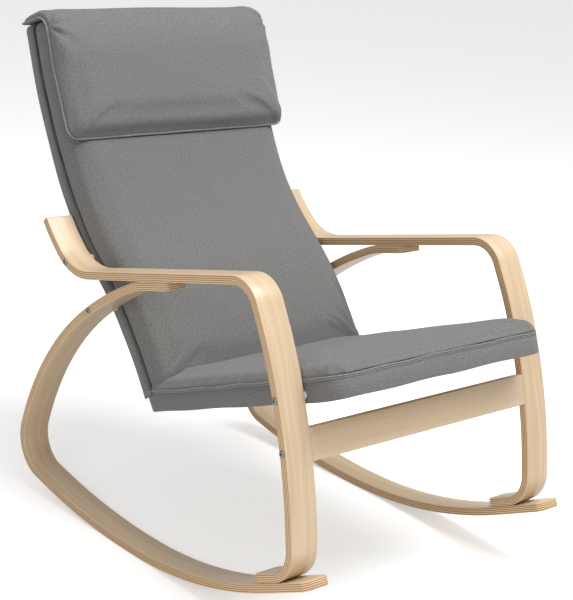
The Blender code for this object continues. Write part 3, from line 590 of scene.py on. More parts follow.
def cloth(name, colour, contrast=0.8):
    """Woven grey fabric: threads in relief, light and dark melange, faint clouds of tone, and painted shade where
    the weave is sunk.
    """
    made, tree, shader = surface(name, colour, 0.92)
    uv = add(tree, "ShaderNodeUVMap", uv_map="Piece").outputs[0]
    weave = use_group(tree, "Woven melange", weave_group, Vector=uv)
    clouds = ramp(tree, weave.outputs["Cloudy"], 0.3, 0.7)
    base = blended(tree, clouds, shade(colour, 0.95), shade(colour, 1.05))
    melange = maths(tree, "MULTIPLY", weave.outputs["Melange"], contrast)
    mixed = blended(tree, melange, base, shade(colour, 2.3))
    # painted shade: the sunk parts of the weave, between and under the threads, are darkened towards 0.35 of the
    # colour
    painted_weave_shade = maths(tree, "MULTIPLY", maths(tree, "SUBTRACT", 1.0, weave.outputs["Height"]), 0.5)
    dark = blended(tree, painted_weave_shade, mixed, shade(colour, 0.35))
    slubs = maths(tree, "MULTIPLY", weave.outputs["Slubs"], 0.80)
    slubbed = blended(tree, slubs, dark, shade(colour, 2.7))
    tree.links.new(slubbed, shader.inputs["Base Color"])
    shader.inputs["Sheen Weight"].default_value = 0.25
    shader.inputs["Sheen Roughness"].default_value = 0.45
    shader.inputs["Specular IOR Level"].default_value = 0.25
    bumped(tree, shader, maths(tree, "ADD", weave.outputs["Height"], weave.outputs["Melange"]), 0.55, 0.0006)
    return made


def steel(name, colour, roughness):
    """Zinc-plated steel with fine turning marks and a mottled plating."""
    made, tree, shader = surface(name, colour, roughness, 1.0)
    spot = add(tree, "ShaderNodeTexCoord").outputs["Object"]
    marks = noise(tree, stretched(tree, spot, (600.0, 2500.0, 2500.0)), 3.0, 0.6)
    tone = noise(tree, stretched(tree, spot, (220.0, 220.0, 220.0)), 2.0, 0.5)
    tree.links.new(blended(tree, tone, shade(colour, 0.85), shade(colour, 1.1)), shader.inputs["Base Color"])
    tree.links.new(maths(tree, "MULTIPLY_ADD", marks, 0.2, roughness - 0.1), shader.inputs["Roughness"])
    bumped(tree, shader, marks, 0.08, 0.0002)
    return made


def nylon(name, colour):
    """Moulded nylon with a faint sprayed texture."""
    made, tree, shader = surface(name, colour, 0.5)
    spot = add(tree, "ShaderNodeTexCoord").outputs["Object"]
    speckle = noise(tree, stretched(tree, spot, (1400.0, 1400.0, 1400.0)), 2.0, 0.5)
    speckled = blended(tree, speckle, shade(colour, 0.94), shade(colour, 1.04))
    tree.links.new(speckled, shader.inputs["Base Color"])
    shader.inputs["Subsurface Weight"].default_value = 0.05
    bumped(tree, shader, speckle, 0.08, 0.0002)
    return made


# ---------------------------------------------------------------- lines for the soft parts
def moved_line(line, lift):
    """The line at a lift from another, towards its inner side."""
    side = 1.0 if line.along[0, 0] * line.inward[0, 1] - line.along[0, 1] * line.inward[0, 0] > 0.0 else -1.0
    return line_through(line.spot + lift * line.inward, side)


def straight_line(line, length):
    """The straight run that a line starts with, carried on."""
    spots = line.spot[0] + np.linspace(0.0, length, 120)[:, None] * line.along[0]
    return line_through(spots, 1.0)


MIDDLE_LINE = moved_line(FRAME_LINE, HALF_FRAME)
SEAT_LINE = straight_line(MIDDLE_LINE, 0.70)


def solid_places(node, line):
    """Piece coordinates of all corners of a CAD node."""
    return place_spots(node_spots(node), line)


def place_spots(spots, line):
    """Piece coordinates of world points: each is taken at its nearest point of the line,
    which is sampled every millimetre."""
    fine = np.arange(0.0, line.run[-1], MM)
    y, z = on_line(line, fine, 0.0)
    out = np.empty_like(spots)
    for first in range(0, len(spots), 4000):
        part = spots[first:first + 4000]
        gap = (part[:, None, 1] - y[None]) ** 2 + (part[:, None, 2] - z[None]) ** 2
        run = fine[np.argmin(gap, axis=1)]
        ahead = [np.interp(run, line.run, line.along[:, k]) for k in (0, 1)]
        inward = [np.interp(run, line.run, line.inward[:, k]) for k in (0, 1)]
        base_y, base_z = on_line(line, run, 0.0)
        dy, dz = part[:, 1] - base_y, part[:, 2] - base_z
        out[first:first + 4000] = np.stack([run + dy * ahead[0] + dz * ahead[1], part[:, 0],
                                            dy * inward[0] + dz * inward[1]], axis=1)
    return out


def back_line():
    """The middle line from where the back cushion starts, straight on below it."""
    places = solid_places("back_cushion", MIDDLE_LINE)
    first = places[places[:, 2] < 0.0, 0].min()
    return line_through(MIDDLE_LINE.spot[MIDDLE_LINE.run > first - MM], 1.0)


BACK_LINE = back_line()
SEAT_PLACES = solid_places("seat_cushion", SEAT_LINE)
BACK_PLACES = solid_places("back_cushion", BACK_LINE)
HALF_COVER = float(SEAT_PLACES[:, 1].max())
HEM = float(-SEAT_PLACES[:, 2].min())
SEAT_TOP = float(SEAT_PLACES[:, 2].max())
SEAT_FRONT = float(SEAT_PLACES[:, 0].min())
SEAT_REAR = float(SEAT_PLACES[SEAT_PLACES[:, 2] < 0.0, 0].max())
BACK_FIRST = float(BACK_PLACES[:, 0].min())
BACK_TOP = float(BACK_PLACES[:, 0].max())
BACK_FRONT = float(BACK_PLACES[:, 2].max())
HALF_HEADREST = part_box("headrest_pad")[1].x


# ---------------------------------------------------------------- soft shapes
def evenly(corners, spacing, closed):
    """Points every spacing along a path of corners; the last is left out if closed."""
    run = np.concatenate([[0.0], np.cumsum(np.linalg.norm(np.diff(corners, axis=0), axis=1))])
    at = np.linspace(0.0, run[-1], int(run[-1] / spacing), endpoint=not closed)
    return np.stack([np.interp(at, run, corners[:, 0]), np.interp(at, run, corners[:, 1])], axis=1)


def rounded_outline(first, last, half_width, radius_first, radius_last, spacing=0.006):
    """Plan outline (run, across) of a rectangle with rounded corners, anticlockwise from
    the middle of its first end."""
    def arc(run, across, radius, start):
        turn = math.radians(start) + np.linspace(0.0, math.pi / 2.0, max(3, int(radius * 1.6 / spacing)))
        return np.stack([run - radius * np.cos(turn), across - radius * np.sin(turn)], axis=1)

    corners = np.vstack([
        [[first, 0.0]],
        arc(first + radius_first, -half_width + radius_first, radius_first, 0.0),
        arc(last - radius_last, -half_width + radius_last, radius_last, 90.0),
        arc(last - radius_last, half_width - radius_last, radius_last, 180.0),
        arc(first + radius_first, half_width - radius_first, radius_first, 270.0),
        [[first, 0.0]]])
    return evenly(corners, spacing, True)


def open_outline(first, last, half_width, radius, spacing=0.006):
    """Plan outline (run, across) of a rectangle's far end and two sides, its corners
    rounded, from the low end of one side to the low end of the other."""
    turn = np.linspace(0.0, math.pi / 2.0, 8)
    corner = np.stack([last - radius + radius * np.sin(turn),
                       half_width - radius + radius * np.cos(turn)], axis=1)
    half = np.vstack([[[first, half_width]], corner])
    return evenly(np.vstack([half * (1.0, -1.0), half[::-1]]), spacing, False)


def outward_of(outline, closed=True):
    """Unit normals that point out of an anticlockwise plan outline."""
    ahead = heading(outline, closed)
    return np.stack([ahead[:, 1], -ahead[:, 0]], axis=1)


def leaned(places, lean, centre_run, span):
    """Shifts the run of an outline's last end with the lift, by a share of the fourth power."""
    share = np.clip((places[..., 0] - centre_run) / span, 0.0, 1.0) ** 4
    places[..., 0] += lean * places[..., 2] * share
    return places


def pad_places(outline, base, top, edge, crown, bulge, lean=0.0, swell=None):
    """Piece coordinates of a pad's rings and its two poles.

    From the pole of the flat base the rings grow to the seam, climb the side on a slight
    bulge sin(pi t), round over on a quarter ellipse edge = (inset, height), and close on
    the crown: top + crown (1 - k^2), k being the share of the ring. lean shifts the run of
    the last end with the lift, and swell(run) scales the lift over the base."""
    centre = (outline.min(0) + outline.max(0)) / 2.0
    half = (outline.max(0) - outline.min(0)) / 2.0
    arm = outline - centre
    rings = [(share, share, base) for share in np.linspace(0.06, 0.94, 12)]
    side_top = top - edge[1]
    for t in np.linspace(0.0, 1.0, max(3, int((side_top - base) / 0.005) + 2)):
        inset = -bulge * math.sin(math.pi * t)
        rings.append((1.0 - inset / half[0], 1.0 - inset / half[1], base + t * (side_top - base)))
    for t in np.linspace(0.0, math.pi / 2.0, 9)[1:]:
        inset = edge[0] * (1.0 - math.cos(t))
        rings.append((1.0 - inset / half[0], 1.0 - inset / half[1], side_top + edge[1] * math.sin(t)))
    rim = rings[-1]
    for share in np.linspace(1.0, 0.04, 34)[1:]:
        rings.append((rim[0] * share, rim[1] * share, top + crown * (1.0 - share * share)))
    rings = np.array(rings)
    places = np.empty((len(rings), len(outline), 3))
    places[..., :2] = centre + arm[None] * rings[:, None, :2]
    places[..., 2] = rings[:, None, 2]
    poles = np.array([[centre[0], centre[1], base], [centre[0], centre[1], top + crown]])
    everything = np.vstack([places.reshape(-1, 3), poles])
    everything = leaned(everything, lean, centre[0], half[0])
    if swell:
        everything[:, 2] = base + (everything[:, 2] - base) * swell(everything[:, 0])
    return everything, len(rings), len(outline)


def pad_faces(rows, columns):
    """Quads between the rings and a fan round each pole."""
    faces = [tuple(f) for f in grid_faces(rows, columns, True)]
    here = np.arange(columns)
    after = (here + 1) % columns
    low, high = rows * columns, rows * columns + 1
    last = (rows - 1) * columns
    faces += [(int(b), int(a), low) for a, b in zip(here, after)]
    faces += [(int(last + a), int(last + b), high) for a, b in zip(here, after)]
    return faces


def puffed(piece, line, held, pressure, limit, voxel):
    """Fills a pad: a voxel remesh, then cloth under inner pressure with no gravity for 20
    frames. held(places) is 1 where the cover is sewn down and 0 where it is free; no point
    moves further than limit."""
    remesh = piece.modifiers.new("even_mesh", "REMESH")
    remesh.mode = "VOXEL"
    remesh.voxel_size = voxel
    applied(piece)
    start = vertex_spots(piece.data)
    weights = held(place_spots(start, line))
    pins = piece.vertex_groups.new(name="held")
    for level in np.unique(np.round(weights, 1)):
        if level > 0.0:
            pins.add(np.flatnonzero(np.round(weights, 1) == level).tolist(), float(level), "REPLACE")
    fill = piece.modifiers.new("fill", "CLOTH")
    fill.settings.vertex_group_mass = "held"
    fill.settings.use_pressure = True
    fill.settings.uniform_pressure_force = pressure
    fill.settings.effector_weights.gravity = 0.0
    fill.settings.tension_stiffness = 12.0
    fill.settings.compression_stiffness = 12.0
    fill.settings.shear_stiffness = 6.0
    fill.settings.bending_stiffness = 0.8
    fill.settings.quality = 5
    fill.point_cache.frame_start = 1
    fill.point_cache.frame_end = 20
    scene = bpy.context.scene
    for step in range(1, 21):
        scene.frame_set(step)
    applied(piece)
    scene.frame_set(1)
    move = vertex_spots(piece.data) - start
    size = np.linalg.norm(move, axis=1)[:, None]
    capped = move * (np.tanh(size / limit) * limit / np.maximum(size, 1e-9)) * (1.0 - weights[:, None])
    piece.data.vertices.foreach_set("co", (start + capped).astype(np.float32).ravel())
    piece.data.update()
    piece.vertex_groups.clear()


def applied(piece):
    """Applies all modifiers of a piece."""
    graph = bpy.context.evaluated_depsgraph_get()
    graph.update()
    mesh = bpy.data.meshes.new_from_object(piece.evaluated_get(graph))
    piece.modifiers.clear()
    old = piece.data
    piece.data = mesh
    bpy.data.meshes.remove(old)
    mesh.name = piece.name


def vertex_spots(mesh):
    spots = np.empty(len(mesh.vertices) * 3, np.float32)
    mesh.vertices.foreach_get("co", spots)
    return spots.reshape(-1, 3).astype(float)


def soft_pad(name, line, outline, shape, relief, held, look, nodes, body, voxel, pressure, limit):
    """A sewn pad: its rings, then the filling, one subdivision, and the small relief of
    its folds, which moves points along their normals."""
    places, rows, columns = pad_places(outline, **shape)
    mesh = bpy.data.meshes.new(name)
    mesh.from_pydata(on_piece(line, places).tolist(), [], pad_faces(rows, columns))
    mesh.update()
    face_out(mesh)
    piece = bpy.data.objects.new(name, mesh)
    bpy.context.scene.collection.objects.link(piece)
    puffed(piece, line, held, pressure, limit, voxel)
    finer = piece.modifiers.new("finer", "SUBSURF")
    finer.levels = 1
    finer.render_levels = 1
    applied(piece)
    mesh = piece.data
    spots = vertex_spots(mesh)
    places = place_spots(spots, line)
    normals = np.empty(len(mesh.vertices) * 3, np.float32)
    mesh.vertices.foreach_get("normal", normals)
    spots += normals.reshape(-1, 3) * relief(places)[:, None]
    mesh.vertices.foreach_set("co", spots.astype(np.float32).ravel())
    set_uv(mesh, places)
    mesh.materials.clear()
    mesh.materials.append(look)
    mesh.polygons.foreach_set("use_smooth", np.ones(len(mesh.polygons), bool))
    mesh.update()
    dress(piece, body, nodes)
    return piece


def band_mesh(name, line, outline, low, high, wall, look, body, slot, closed=True, heel=0.0, lean=0.0,
              centre_run=0.0, span=1.0):
    """The plain band of a cover: a thin wall along a plan outline, from a rolled hem at
    low to the seam at high. At the last end the hem climbs on a circle of radius heel."""
    hem = wall * 0.5
    turn = np.linspace(0.0, math.pi, 5)
    section = np.vstack([
        [[0.0, high]], [[-0.0006, (low + high) * 0.5]],
        np.stack([hem - hem * np.cos(turn), low + hem - hem * np.sin(turn)], axis=1),
        [[wall, high]]])
    out = outward_of(outline, closed)
    places = np.empty((len(outline), len(section), 3))
    count = np.arange(len(outline))
    wave = 0.0007 * np.sin(count * 0.21) + 0.0005 * np.sin(count * 0.057 + 1.0)
    places[..., :2] = outline[:, None] - out[:, None] * section[None, :, :1]
    places[..., 2] = section[None, :, 1] + wave[:, None] * (section[None, :, 1] < high - MM)
    if heel:
        reach = np.clip(outline[:, 0] - (outline[:, 0].max() - heel), 0.0, heel)
        climb = heel - np.sqrt(heel ** 2 - reach ** 2)
        places[..., 2] += climb[:, None] * (high - places[..., 2]) / (high - low)
    places = leaned(places, lean, centre_run, span)
    faces = tube_faces(*places.shape[:2], closed)
    piece = new_piece(name, on_piece(line, places), faces, places, [look], body)
    face_out(piece.data)
    return piece


def seam_rope(name, line, outline, lift, radius, proud, look, body, slot, closed=True, lean=0.0,
              centre_run=0.0, span=1.0):
    """A welt along a plan outline at a lift, standing proud, that strays by a millimetre."""
    out = outward_of(outline, closed)
    count = np.arange(len(outline))
    stray = 0.0007 * np.sin(count * 0.31) + 0.0006 * np.sin(count * 0.083 + 2.0)
    places = np.empty((len(outline), 3))
    places[:, :2] = outline + out * proud
    places[:, 2] = lift + stray
    places = leaned(places, lean, centre_run, span)
    return rope_mesh(name, on_piece(line, places), radius, places, [look], body, closed=closed)


# ---------------------------------------------------------------- settings of the add-on
def paint(name, description, default):
    """A colour property."""
    return FloatVectorProperty(name=name, description=description, subtype="COLOR", size=3, min=0.0, max=1.0,
                               default=default)


class ChairWoodSettings(bpy.types.PropertyGroup):
    colour: paint("Veneer", "Ground colour of the birch veneer", (0.665, 0.518, 0.355))
    edge_colour: paint("Ply edge", "Ground colour of the plywood edges", (0.72, 0.53, 0.33))
    ease: FloatProperty(name="Eased edge", description="Radius along the strips' long edges", unit="LENGTH",
                        default=0.0016)
    layers: IntProperty(name="Veneers", description="Number of veneers in a strip", default=9, min=3)


class ChairFabricSettings(bpy.types.PropertyGroup):
    colour: paint("Fabric", "Mean colour of the woven cover", (0.093, 0.0919, 0.0895))
    band: FloatProperty(name="Seat band", description="Lift of the seat's seam over the frame's centre line",
                        unit="LENGTH", default=0.025)
    back_band: FloatProperty(name="Back band", description="Lift of the back's seam over that line",
                             unit="LENGTH", default=0.015)
    pressure: FloatProperty(name="Filling", description="Inner pressure of the pads while they are filled",
                            default=4.0)


class ChairStageSettings(bpy.types.PropertyGroup):
    floor: paint("Floor", "Colour of the floor", (0.86, 0.86, 0.86))
    world: FloatProperty(name="Room light", description="Strength of the even light of the room", default=0.46)
    key: FloatProperty(name="Key light", description="Power of the large soft light overhead", default=165.0,
                       unit="POWER")
    side: FloatProperty(name="Side light", description="Power of the soft light from the right side",
                        default=24.0, unit="POWER")


def look(kind):
    """The material of one finish, made on first use."""
    wood = bpy.context.scene.chair_wood
    fabric = bpy.context.scene.chair_fabric
    found = bpy.data.materials.get(kind)
    if found:
        return found
    veneer = tuple(wood.colour)
    weave = tuple(fabric.colour)
    makers = {
        "birch_veneer": lambda: birch_face(kind, veneer),
        "birch_ply_edge": lambda: ply_edge(kind, tuple(wood.edge_colour), ARM_LINE.thickness, wood.layers),
        "rail_veneer": lambda: birch_face(kind, veneer, (0.55, 1.0, 1.0)),
        "inner_veneer": lambda: birch_face(kind, shade(veneer, 0.86)[:3]),
        "grey_weave": lambda: cloth(kind, weave),
        # the welts: the cover's own fabric made 1.6 times paler, a painted highlight of the lit welt
        "highlit_welt_weave": lambda: cloth(kind, shade(weave, 1.6)[:3], 0.4),
        # the back's piping: the cover's own fabric made 0.55 times darker, painted shade of its recessed seam
        "shaded_piping_weave": lambda: cloth(kind, shade(weave, 0.55)[:3], 0.4),
        "plated_steel": lambda: steel(kind, (0.30, 0.30, 0.295), 0.34),
        "black_steel": lambda: steel(kind, (0.06, 0.06, 0.065), 0.42),
        "pale_nylon": lambda: nylon(kind, (0.66, 0.64, 0.58)),
    }
    return makers[kind]()


# ---------------------------------------------------------------- operators
class CHAIR_OT_strips(bpy.types.Operator):
    """The four bent strips: armrest and leg in one, and rocker, on each side"""
    bl_idname = "chair.strips"
    bl_label = "Bent strips"

    def execute(self, context):
        wood = context.scene.chair_wood
        materials = [look("birch_veneer"), look("birch_ply_edge")]
        clipped, rounded = (CLIPPED_END, 0.0), (0.0, ROUND_TAIL)
        for word in ("right", "left"):
            low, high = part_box(word + "_arm_leg")
            middle, half = (low.x + high.x) / 2.0, (high.x - low.x) / 2.0
            for part, line, ends in (("_arm_leg", ARM_LINE, (rounded, clipped)),
                                     ("_rocker", ROCKER_LINE, (clipped, clipped))):
                strip_mesh(remade(word + part + "_ply"), line, middle, half, ends, wood.ease, materials,
                           [word + part])
        return {"FINISHED"}


class CHAIR_OT_rail(bpy.types.Operator):
    """The front cross rail between the legs"""
    bl_idname = "chair.rail"
    bl_label = "Front rail"

    def execute(self, context):
        wood = context.scene.chair_wood
        spots = node_spots("front_rail")
        low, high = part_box("front_rail")
        bolt_low, bolt_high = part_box("right_rail_bolt")
        centre = np.array([0.0, (bolt_low.y + bolt_high.y) / 2.0, (bolt_low.z + bolt_high.z) / 2.0])
        nearest = np.argmin(np.linalg.norm(ARM_LINE.spot - centre[1:], axis=1))
        up, inward = -ARM_LINE.along[nearest], ARM_LINE.inward[nearest]
        rise = spots[:, 1:] @ up
        depth = spots[:, 1:] @ inward
        half = ((high.x - low.x) / 2.0, (rise.max() - rise.min()) / 2.0, (depth.max() - depth.min()) / 2.0)
        section = rounded_section(half[1], half[2], wood.ease + 0.0004)
        ends = np.array([-half[0], -half[0] + 0.001, half[0] - 0.001, half[0]])
        inset = np.array([0.97, 1.0, 1.0, 0.97])
        grid = np.concatenate([np.broadcast_to(ends[:, None, None], (4, len(section), 1)),
                               section[None] * inset[:, None, None]], axis=2)
        middle = (rise.max() + rise.min()) / 2.0 * up + (depth.max() + depth.min()) / 2.0 * inward
        plane = middle + grid[..., 1:2] * up + grid[..., 2:3] * inward
        world = np.concatenate([grid[..., :1], plane], axis=2)
        finishes = [look("rail_veneer"), look("birch_ply_edge")]
        piece = new_piece(remade("front_rail_board"), world, tube_faces(*grid.shape[:2]), grid, finishes,
                          "chair", ["front_rail"], edges_at=2)
        face_out(piece.data)
        return {"FINISHED"}


class CHAIR_OT_inner_frame(bpy.types.Operator):
    """Wood on the seat and back frame's rails and slats, which keep their shape"""
    bl_idname = "chair.inner_frame"
    bl_label = "Inner frame"

    def execute(self, context):
        for name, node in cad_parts.items():
            if name.endswith("_slat") or name.endswith("_frame_rail"):
                across = name.endswith("_slat")
                spots = vertex_spots(node.data)
                places = place_spots(spots, MIDDLE_LINE)
                set_uv(node.data, places[:, [1, 0, 2]] if across else places)
                clothe(node, look("inner_veneer"))
        return {"FINISHED"}


def clothe(node, material):
    node.data.materials.clear()
    node.data.materials.append(material)


class CHAIR_OT_fasteners(bpy.types.Operator):
    """Socket bolts, nuts, spacers and the screws between the strips"""
    bl_idname = "chair.fasteners"
    bl_label = "Fasteners"

    def execute(self, context):
        for name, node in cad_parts.items():
            low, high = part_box(name)
            centre = (low + high) / 2.0
            outward = 1.0 if centre.x > 0.0 else -1.0
            length = high.x - low.x
            radius = (high.z - low.z) / 2.0
            face = (high.x if outward > 0.0 else low.x, centre.y, centre.z)
            if name.endswith("_bolt"):
                # from the socket's floor over the domed head and down the shank
                profile = [(0.0023, -0.0024, 1.0), (0.0023, -0.0008, 1.0), (0.0025, -0.0002, 1.0),
                           (radius * 0.62, 0.0, 0.0), (radius * 0.84, -0.0004, 0.0),
                           (radius * 0.96, -0.0011, 0.0), (radius, -0.0018, 0.0), (radius, -0.0026, 0.0),
                           (0.003, -0.0026, 0.0), (0.003, 0.002 - length, 0.0), (0.0018, -length, 0.0)]
                turned_mesh(remade(name + "_turned"), profile, face, outward, 36, [look("plated_steel")],
                            "chair", [name])
            elif name.endswith("_spacer"):
                rim = radius - 1.2 * MM
                profile = [(rim, 0.0, 0.0), (radius, -MM, 0.0), (radius, MM - length, 0.0),
                           (rim, -length, 0.0)]
                turned_mesh(remade(name + "_turned"), profile, face, outward, 40, [look("pale_nylon")],
                            "chair", [name])
            elif "_screw" in name:
                clothe(node, look("black_steel"))
            elif name.endswith("_nut"):
                clothe(node, look("plated_steel"))
        return {"FINISHED"}


class CHAIR_OT_seat(bpy.types.Operator):
    """The seat: its band over the frame, the double welt and the filled pad"""
    bl_idname = "chair.seat"
    bl_label = "Seat cushion"

    def execute(self, context):
        fabric = context.scene.chair_fabric
        rear_angle = SEAT_LINE.along[0] @ BACK_LINE.along[0]
        lean = rear_angle / math.sqrt(1.0 - rear_angle ** 2)
        rear = SEAT_REAR - 0.004
        outline = rounded_outline(SEAT_FRONT, rear, HALF_COVER, radius_first=0.036, radius_last=0.016)
        bend = {"lean": lean, "centre_run": (SEAT_FRONT + rear) / 2.0, "span": (rear - SEAT_FRONT) / 2.0}

        def held(places):
            return np.clip((fabric.band + 0.010 - places[:, 2]) / 0.008, 0.0, 1.0)

        def relief(places):
            run, across, lift = places.T
            rise = np.clip((lift - fabric.band) / 0.012, 0.0, 1.0)
            waves = np.sin(across * 31.0 + 4.0 * np.sin(run * 9.0))
            folds = 0.0011 * waves * np.sin(run * 17.0 + across * 6.0)
            puckers = 0.0007 * np.sin(run * 150.0) * np.exp(-((lift - fabric.band - 0.010) / 0.010) ** 2)
            return rise * folds + puckers

        soft_pad(remade("seat_pad"), SEAT_LINE, outline,
                 {"base": fabric.band, "top": SEAT_TOP - 0.006, "edge": (0.018, 0.015), "crown": 0.003,
                  "bulge": 0.001, "lean": lean},
                 relief, held, look("grey_weave"), ["seat_cushion"], "chair", voxel=0.006,
                 pressure=fabric.pressure, limit=0.007)
        band_mesh(remade("seat_band"), SEAT_LINE, outline, -HEM, fabric.band + MM, COVER_WALL,
                  look("grey_weave"), "chair", "grey_fabric", heel=SEAT_HEEL, **bend)
        for name, lift, radius, proud in (("seat_welt_upper", 0.0008, 0.0016, 0.0004),
                                          ("seat_welt_lower", -0.0028, 0.0012, 0.0002)):
            seam_rope(remade(name), SEAT_LINE, outline, fabric.band + lift, radius, proud, look("highlit_welt_weave"),
                      "chair", "grey_fabric", **bend)
        return {"FINISHED"}


class CHAIR_OT_back(bpy.types.Operator):
    """The back: its band over the frame, the piping and the filled pad"""
    bl_idname = "chair.back"
    bl_label = "Back cushion"

    def execute(self, context):
        fabric = context.scene.chair_fabric
        under_headrest = BACK_TOP - HEADREST_COVERS
        outline = rounded_outline(BACK_FIRST - 0.022, BACK_TOP, HALF_COVER, radius_first=0.020, radius_last=0.020)

        def held(places):
            low = np.clip((fabric.back_band + 0.012 - places[:, 2]) / 0.008, 0.0, 1.0)
            covered = np.clip((places[:, 0] - under_headrest) / 0.03, 0.0, 1.0)
            return np.maximum(low, covered)

        def relief(places):
            run, across, lift = places.T
            rise = np.clip((lift - 0.04) / 0.03, 0.0, 1.0) * np.clip((under_headrest - run) / 0.04, 0.0, 1.0)
            waves = np.sin(run * 14.0 + 3.0 * np.sin(across * 11.0))
            folds = 0.0012 * waves * np.sin(across * 19.0 + run * 5.0)
            return rise * folds - 0.0015 * (run > under_headrest) * np.clip((lift - 0.04) / 0.03, 0.0, 1.0)

        soft_pad(remade("back_pad"), BACK_LINE, outline,
                 {"base": fabric.back_band, "top": BACK_FRONT - 0.002, "edge": (0.026, 0.024), "crown": 0.0,
                  "bulge": 0.001},
                 relief, held, look("grey_weave"), ["back_cushion"], "chair",
                 voxel=0.007, pressure=fabric.pressure, limit=0.009)
        sides = open_outline(BACK_FIRST - 0.021, BACK_TOP, HALF_COVER, radius=0.012)
        band_mesh(remade("back_band"), BACK_LINE, sides, -HEM, fabric.back_band + MM, COVER_WALL,
                  look("grey_weave"), "chair", "grey_fabric", closed=False)
        seam_rope(remade("back_piping"), BACK_LINE, sides, fabric.back_band, radius=0.0022, proud=0.0004,
                  look=look("shaded_piping_weave"), body="chair", slot="grey_fabric", closed=False)
        return {"FINISHED"}


def headrest_line():
    """From the seam behind the top edge, over it on a rounded corner and down the back's
    front: the inner side of the headrest pad."""
    lift = BACK_FRONT + HEADREST_OFF
    radius = HEADREST_CORNER
    top = BACK_TOP + HEADREST_OVER
    lifts = np.arange(-HEM, lift - radius, 0.005)
    over = np.stack([np.full_like(lifts, top), lifts], axis=1)
    turn = np.linspace(0.0, math.pi / 2.0, 10)
    corner = np.stack([top - radius + radius * np.cos(turn), lift - radius + radius * np.sin(turn)], axis=1)
    low = solid_places("headrest_pad", BACK_LINE)[:, 0].min()
    down = np.arange(top - radius - 0.005, low, -0.006)
    front = np.stack([down, np.full_like(down, lift)], axis=1)
    path = np.vstack([over, corner, front, [[low, lift]]])
    y, z = on_line(BACK_LINE, path[:, 0], path[:, 1])
    spots = np.stack([y, z], axis=1)
    keep = np.concatenate([[True], np.linalg.norm(np.diff(spots, axis=0), axis=1) > 0.0015])
    return line_through(spots[keep], -1.0)


class CHAIR_OT_headrest(bpy.types.Operator):
    """The headrest pad, sewn behind the top edge and folded down the front"""
    bl_idname = "chair.headrest"
    bl_label = "Headrest pad"

    def execute(self, context):
        fabric = context.scene.chair_fabric
        line = headrest_line()
        length = line.run[-1]
        outline = rounded_outline(HEADREST_START, length, HALF_HEADREST, radius_first=0.006, radius_last=0.022)
        def held(places):
            base = np.clip((0.007 - places[:, 2]) / 0.004, 0.0, 1.0)
            return np.maximum(base, np.clip((0.10 - places[:, 0]) / 0.03, 0.0, 1.0))

        def relief(places):
            run, across, lift = places.T
            rise = np.clip((lift - 0.006) / 0.015, 0.0, 1.0)
            total = np.zeros_like(run)
            for side in (-1.0, 1.0):
                away_run, away = run - HEADREST_BEND, side * (side * HALF_HEADREST - across)
                reach = np.hypot(away_run, away)
                angle = np.arctan2(away_run, away + 1e-6)
                fading = np.exp(-reach / 0.035) * np.clip(reach / 0.012, 0.0, 1.0)
                total += GATHER_DEPTH * np.sin(angle * 7.0 + side) * fading
            waves = np.sin(across * 17.0 + 2.0 * np.sin(run * 19.0))
            folds = 0.0012 * waves * np.sin(run * 23.0 + across * 4.0)
            return rise * (total + folds)

        def swell(run):
            return 0.50 + 0.50 * smooth_step((run - 0.075) / 0.095)

        soft_pad(remade("headrest_cover"), line, outline,
                 {"base": 0.0, "top": HEADREST_THICK, "edge": (0.020, 0.033), "crown": 0.001, "bulge": 0.0,
                  "swell": swell},
                 relief, held, look("grey_weave"), ["headrest_pad"], "headrest",
                 voxel=0.006, pressure=fabric.pressure, limit=0.008)
        seam_rope(remade("headrest_welt"), line, outline, HEADREST_START, radius=0.0021, proud=0.0006,
                  look=look("highlit_welt_weave"), body="headrest", slot="grey_fabric")
        return {"FINISHED"}


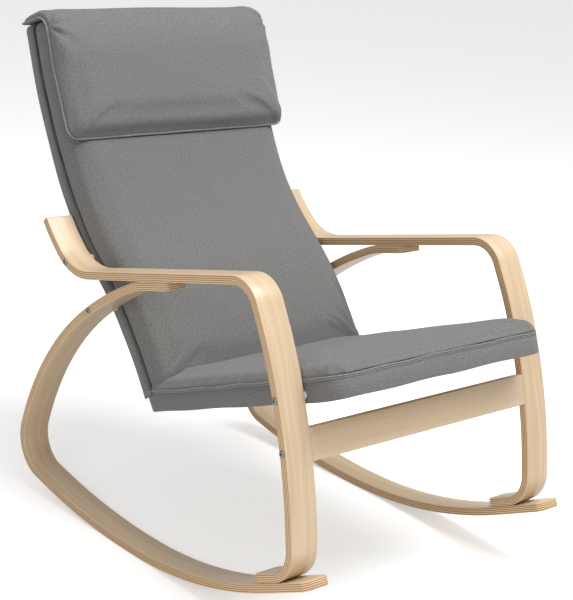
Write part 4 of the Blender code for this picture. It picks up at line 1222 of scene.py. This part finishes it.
class CHAIR_OT_stage(bpy.types.Operator):
    """Floor, soft lights and the camera"""
    bl_idname = "chair.stage"
    bl_label = "Stage"

    def execute(self, context):
        stage = context.scene.chair_stage
        mesh = bpy.data.meshes.new("floor")
        corners = [(x * FLOOR_REACH, y * FLOOR_REACH, 0.0) for x, y in ((-1, -1), (1, -1), (1, 1), (-1, 1))]
        mesh.from_pydata(corners, [], [(0, 1, 2, 3)])
        floor = bpy.data.objects.new(remade("floor"), mesh)
        floor.location.z = -0.0005
        context.scene.collection.objects.link(floor)
        made, tree, shader = surface("pale_floor", tuple(stage.floor), 0.85)
        shader.inputs["Specular IOR Level"].default_value = 0.1
        shader.inputs["Emission Color"].default_value = (1.0, 1.0, 1.0, 1.0)
        seen = add(tree, "ShaderNodeLightPath").outputs["Is Camera Ray"]
        tree.links.new(maths(tree, "MULTIPLY", seen, FLOOR_GLOW), shader.inputs["Emission Strength"])
        mesh.materials.append(made)
        # the room looks white to the camera, whatever light it gives
        world = bpy.data.worlds.new("soft_room")
        world.use_nodes = True
        background = world.node_tree.nodes["Background"]
        background.inputs["Color"].default_value = (1.0, 1.0, 1.0, 1.0)
        sky = world.node_tree
        seen = add(sky, "ShaderNodeLightPath").outputs["Is Camera Ray"]
        sky.links.new(maths(sky, "MAXIMUM", seen, stage.world), background.inputs["Strength"])
        context.scene.world = world
        for name, spot, target, size, power in (
                ("key_light", (0.7, -1.3, 4.0), (0.0, 0.0, 0.4), 2.6, stage.key),
                ("side_light", (-2.9, -1.6, 1.7), (0.0, 0.0, 0.4), 1.6, stage.side)):
            data = bpy.data.lights.new(name, "AREA")
            data.size = size
            data.energy = power
            lamp = bpy.data.objects.new(remade(name), data)
            lamp.location = spot
            aim = Vector(target) - Vector(spot)
            lamp.rotation_euler = aim.to_track_quat("-Z", "Y").to_euler()
            context.scene.collection.objects.link(lamp)
        data = bpy.data.cameras.new("camera")
        data.sensor_width = 36.0
        data.lens = CAMERA_LENS
        data.shift_x, data.shift_y = CAMERA_SHIFT
        camera = bpy.data.objects.new(remade("camera"), data)
        camera.location = CAMERA_SPOT
        back = CAMERA_BACK.normalized()
        up = back.cross(CAMERA_RIGHT.normalized()).normalized()
        right = up.cross(back)
        camera.rotation_euler = Matrix((right, up, back)).transposed().to_euler()
        context.scene.collection.objects.link(camera)
        context.scene.camera = camera
        context.scene.view_settings.view_transform = "Standard"
        return {"FINISHED"}


class CHAIR_PT_panel(bpy.types.Panel):
    """Lists the pieces and their settings"""
    bl_idname = "CHAIR_PT_panel"
    bl_label = "Rocking chair"
    bl_space_type = "VIEW_3D"
    bl_region_type = "UI"
    bl_category = "Rocking chair"

    def draw(self, context):
        for group_name in ("chair_wood", "chair_fabric", "chair_stage"):
            settings = getattr(context.scene, group_name)
            for key in settings.__annotations__:
                self.layout.prop(settings, key)
        for operator in OPERATORS:
            self.layout.operator(operator.bl_idname)


SETTINGS = (("chair_wood", ChairWoodSettings), ("chair_fabric", ChairFabricSettings),
            ("chair_stage", ChairStageSettings))
OPERATORS = (CHAIR_OT_strips, CHAIR_OT_rail, CHAIR_OT_inner_frame, CHAIR_OT_fasteners, CHAIR_OT_seat,
             CHAIR_OT_back, CHAIR_OT_headrest, CHAIR_OT_stage)


def register():
    for name, settings in SETTINGS:
        bpy.utils.register_class(settings)
        setattr(bpy.types.Scene, name, PointerProperty(type=settings))
    for operator in OPERATORS:
        bpy.utils.register_class(operator)
    bpy.utils.register_class(CHAIR_PT_panel)


def unregister():
    bpy.utils.unregister_class(CHAIR_PT_panel)
    for operator in reversed(OPERATORS):
        bpy.utils.unregister_class(operator)
    for name, settings in reversed(SETTINGS):
        delattr(bpy.types.Scene, name)
        bpy.utils.unregister_class(settings)


def main():
    register()
    bpy.ops.chair.strips()
    bpy.ops.chair.rail()
    bpy.ops.chair.inner_frame()
    bpy.ops.chair.fasteners()
    bpy.ops.chair.seat()
    bpy.ops.chair.back()
    bpy.ops.chair.headrest()
    bpy.ops.chair.stage()


if __name__ == "__main__":
    main()
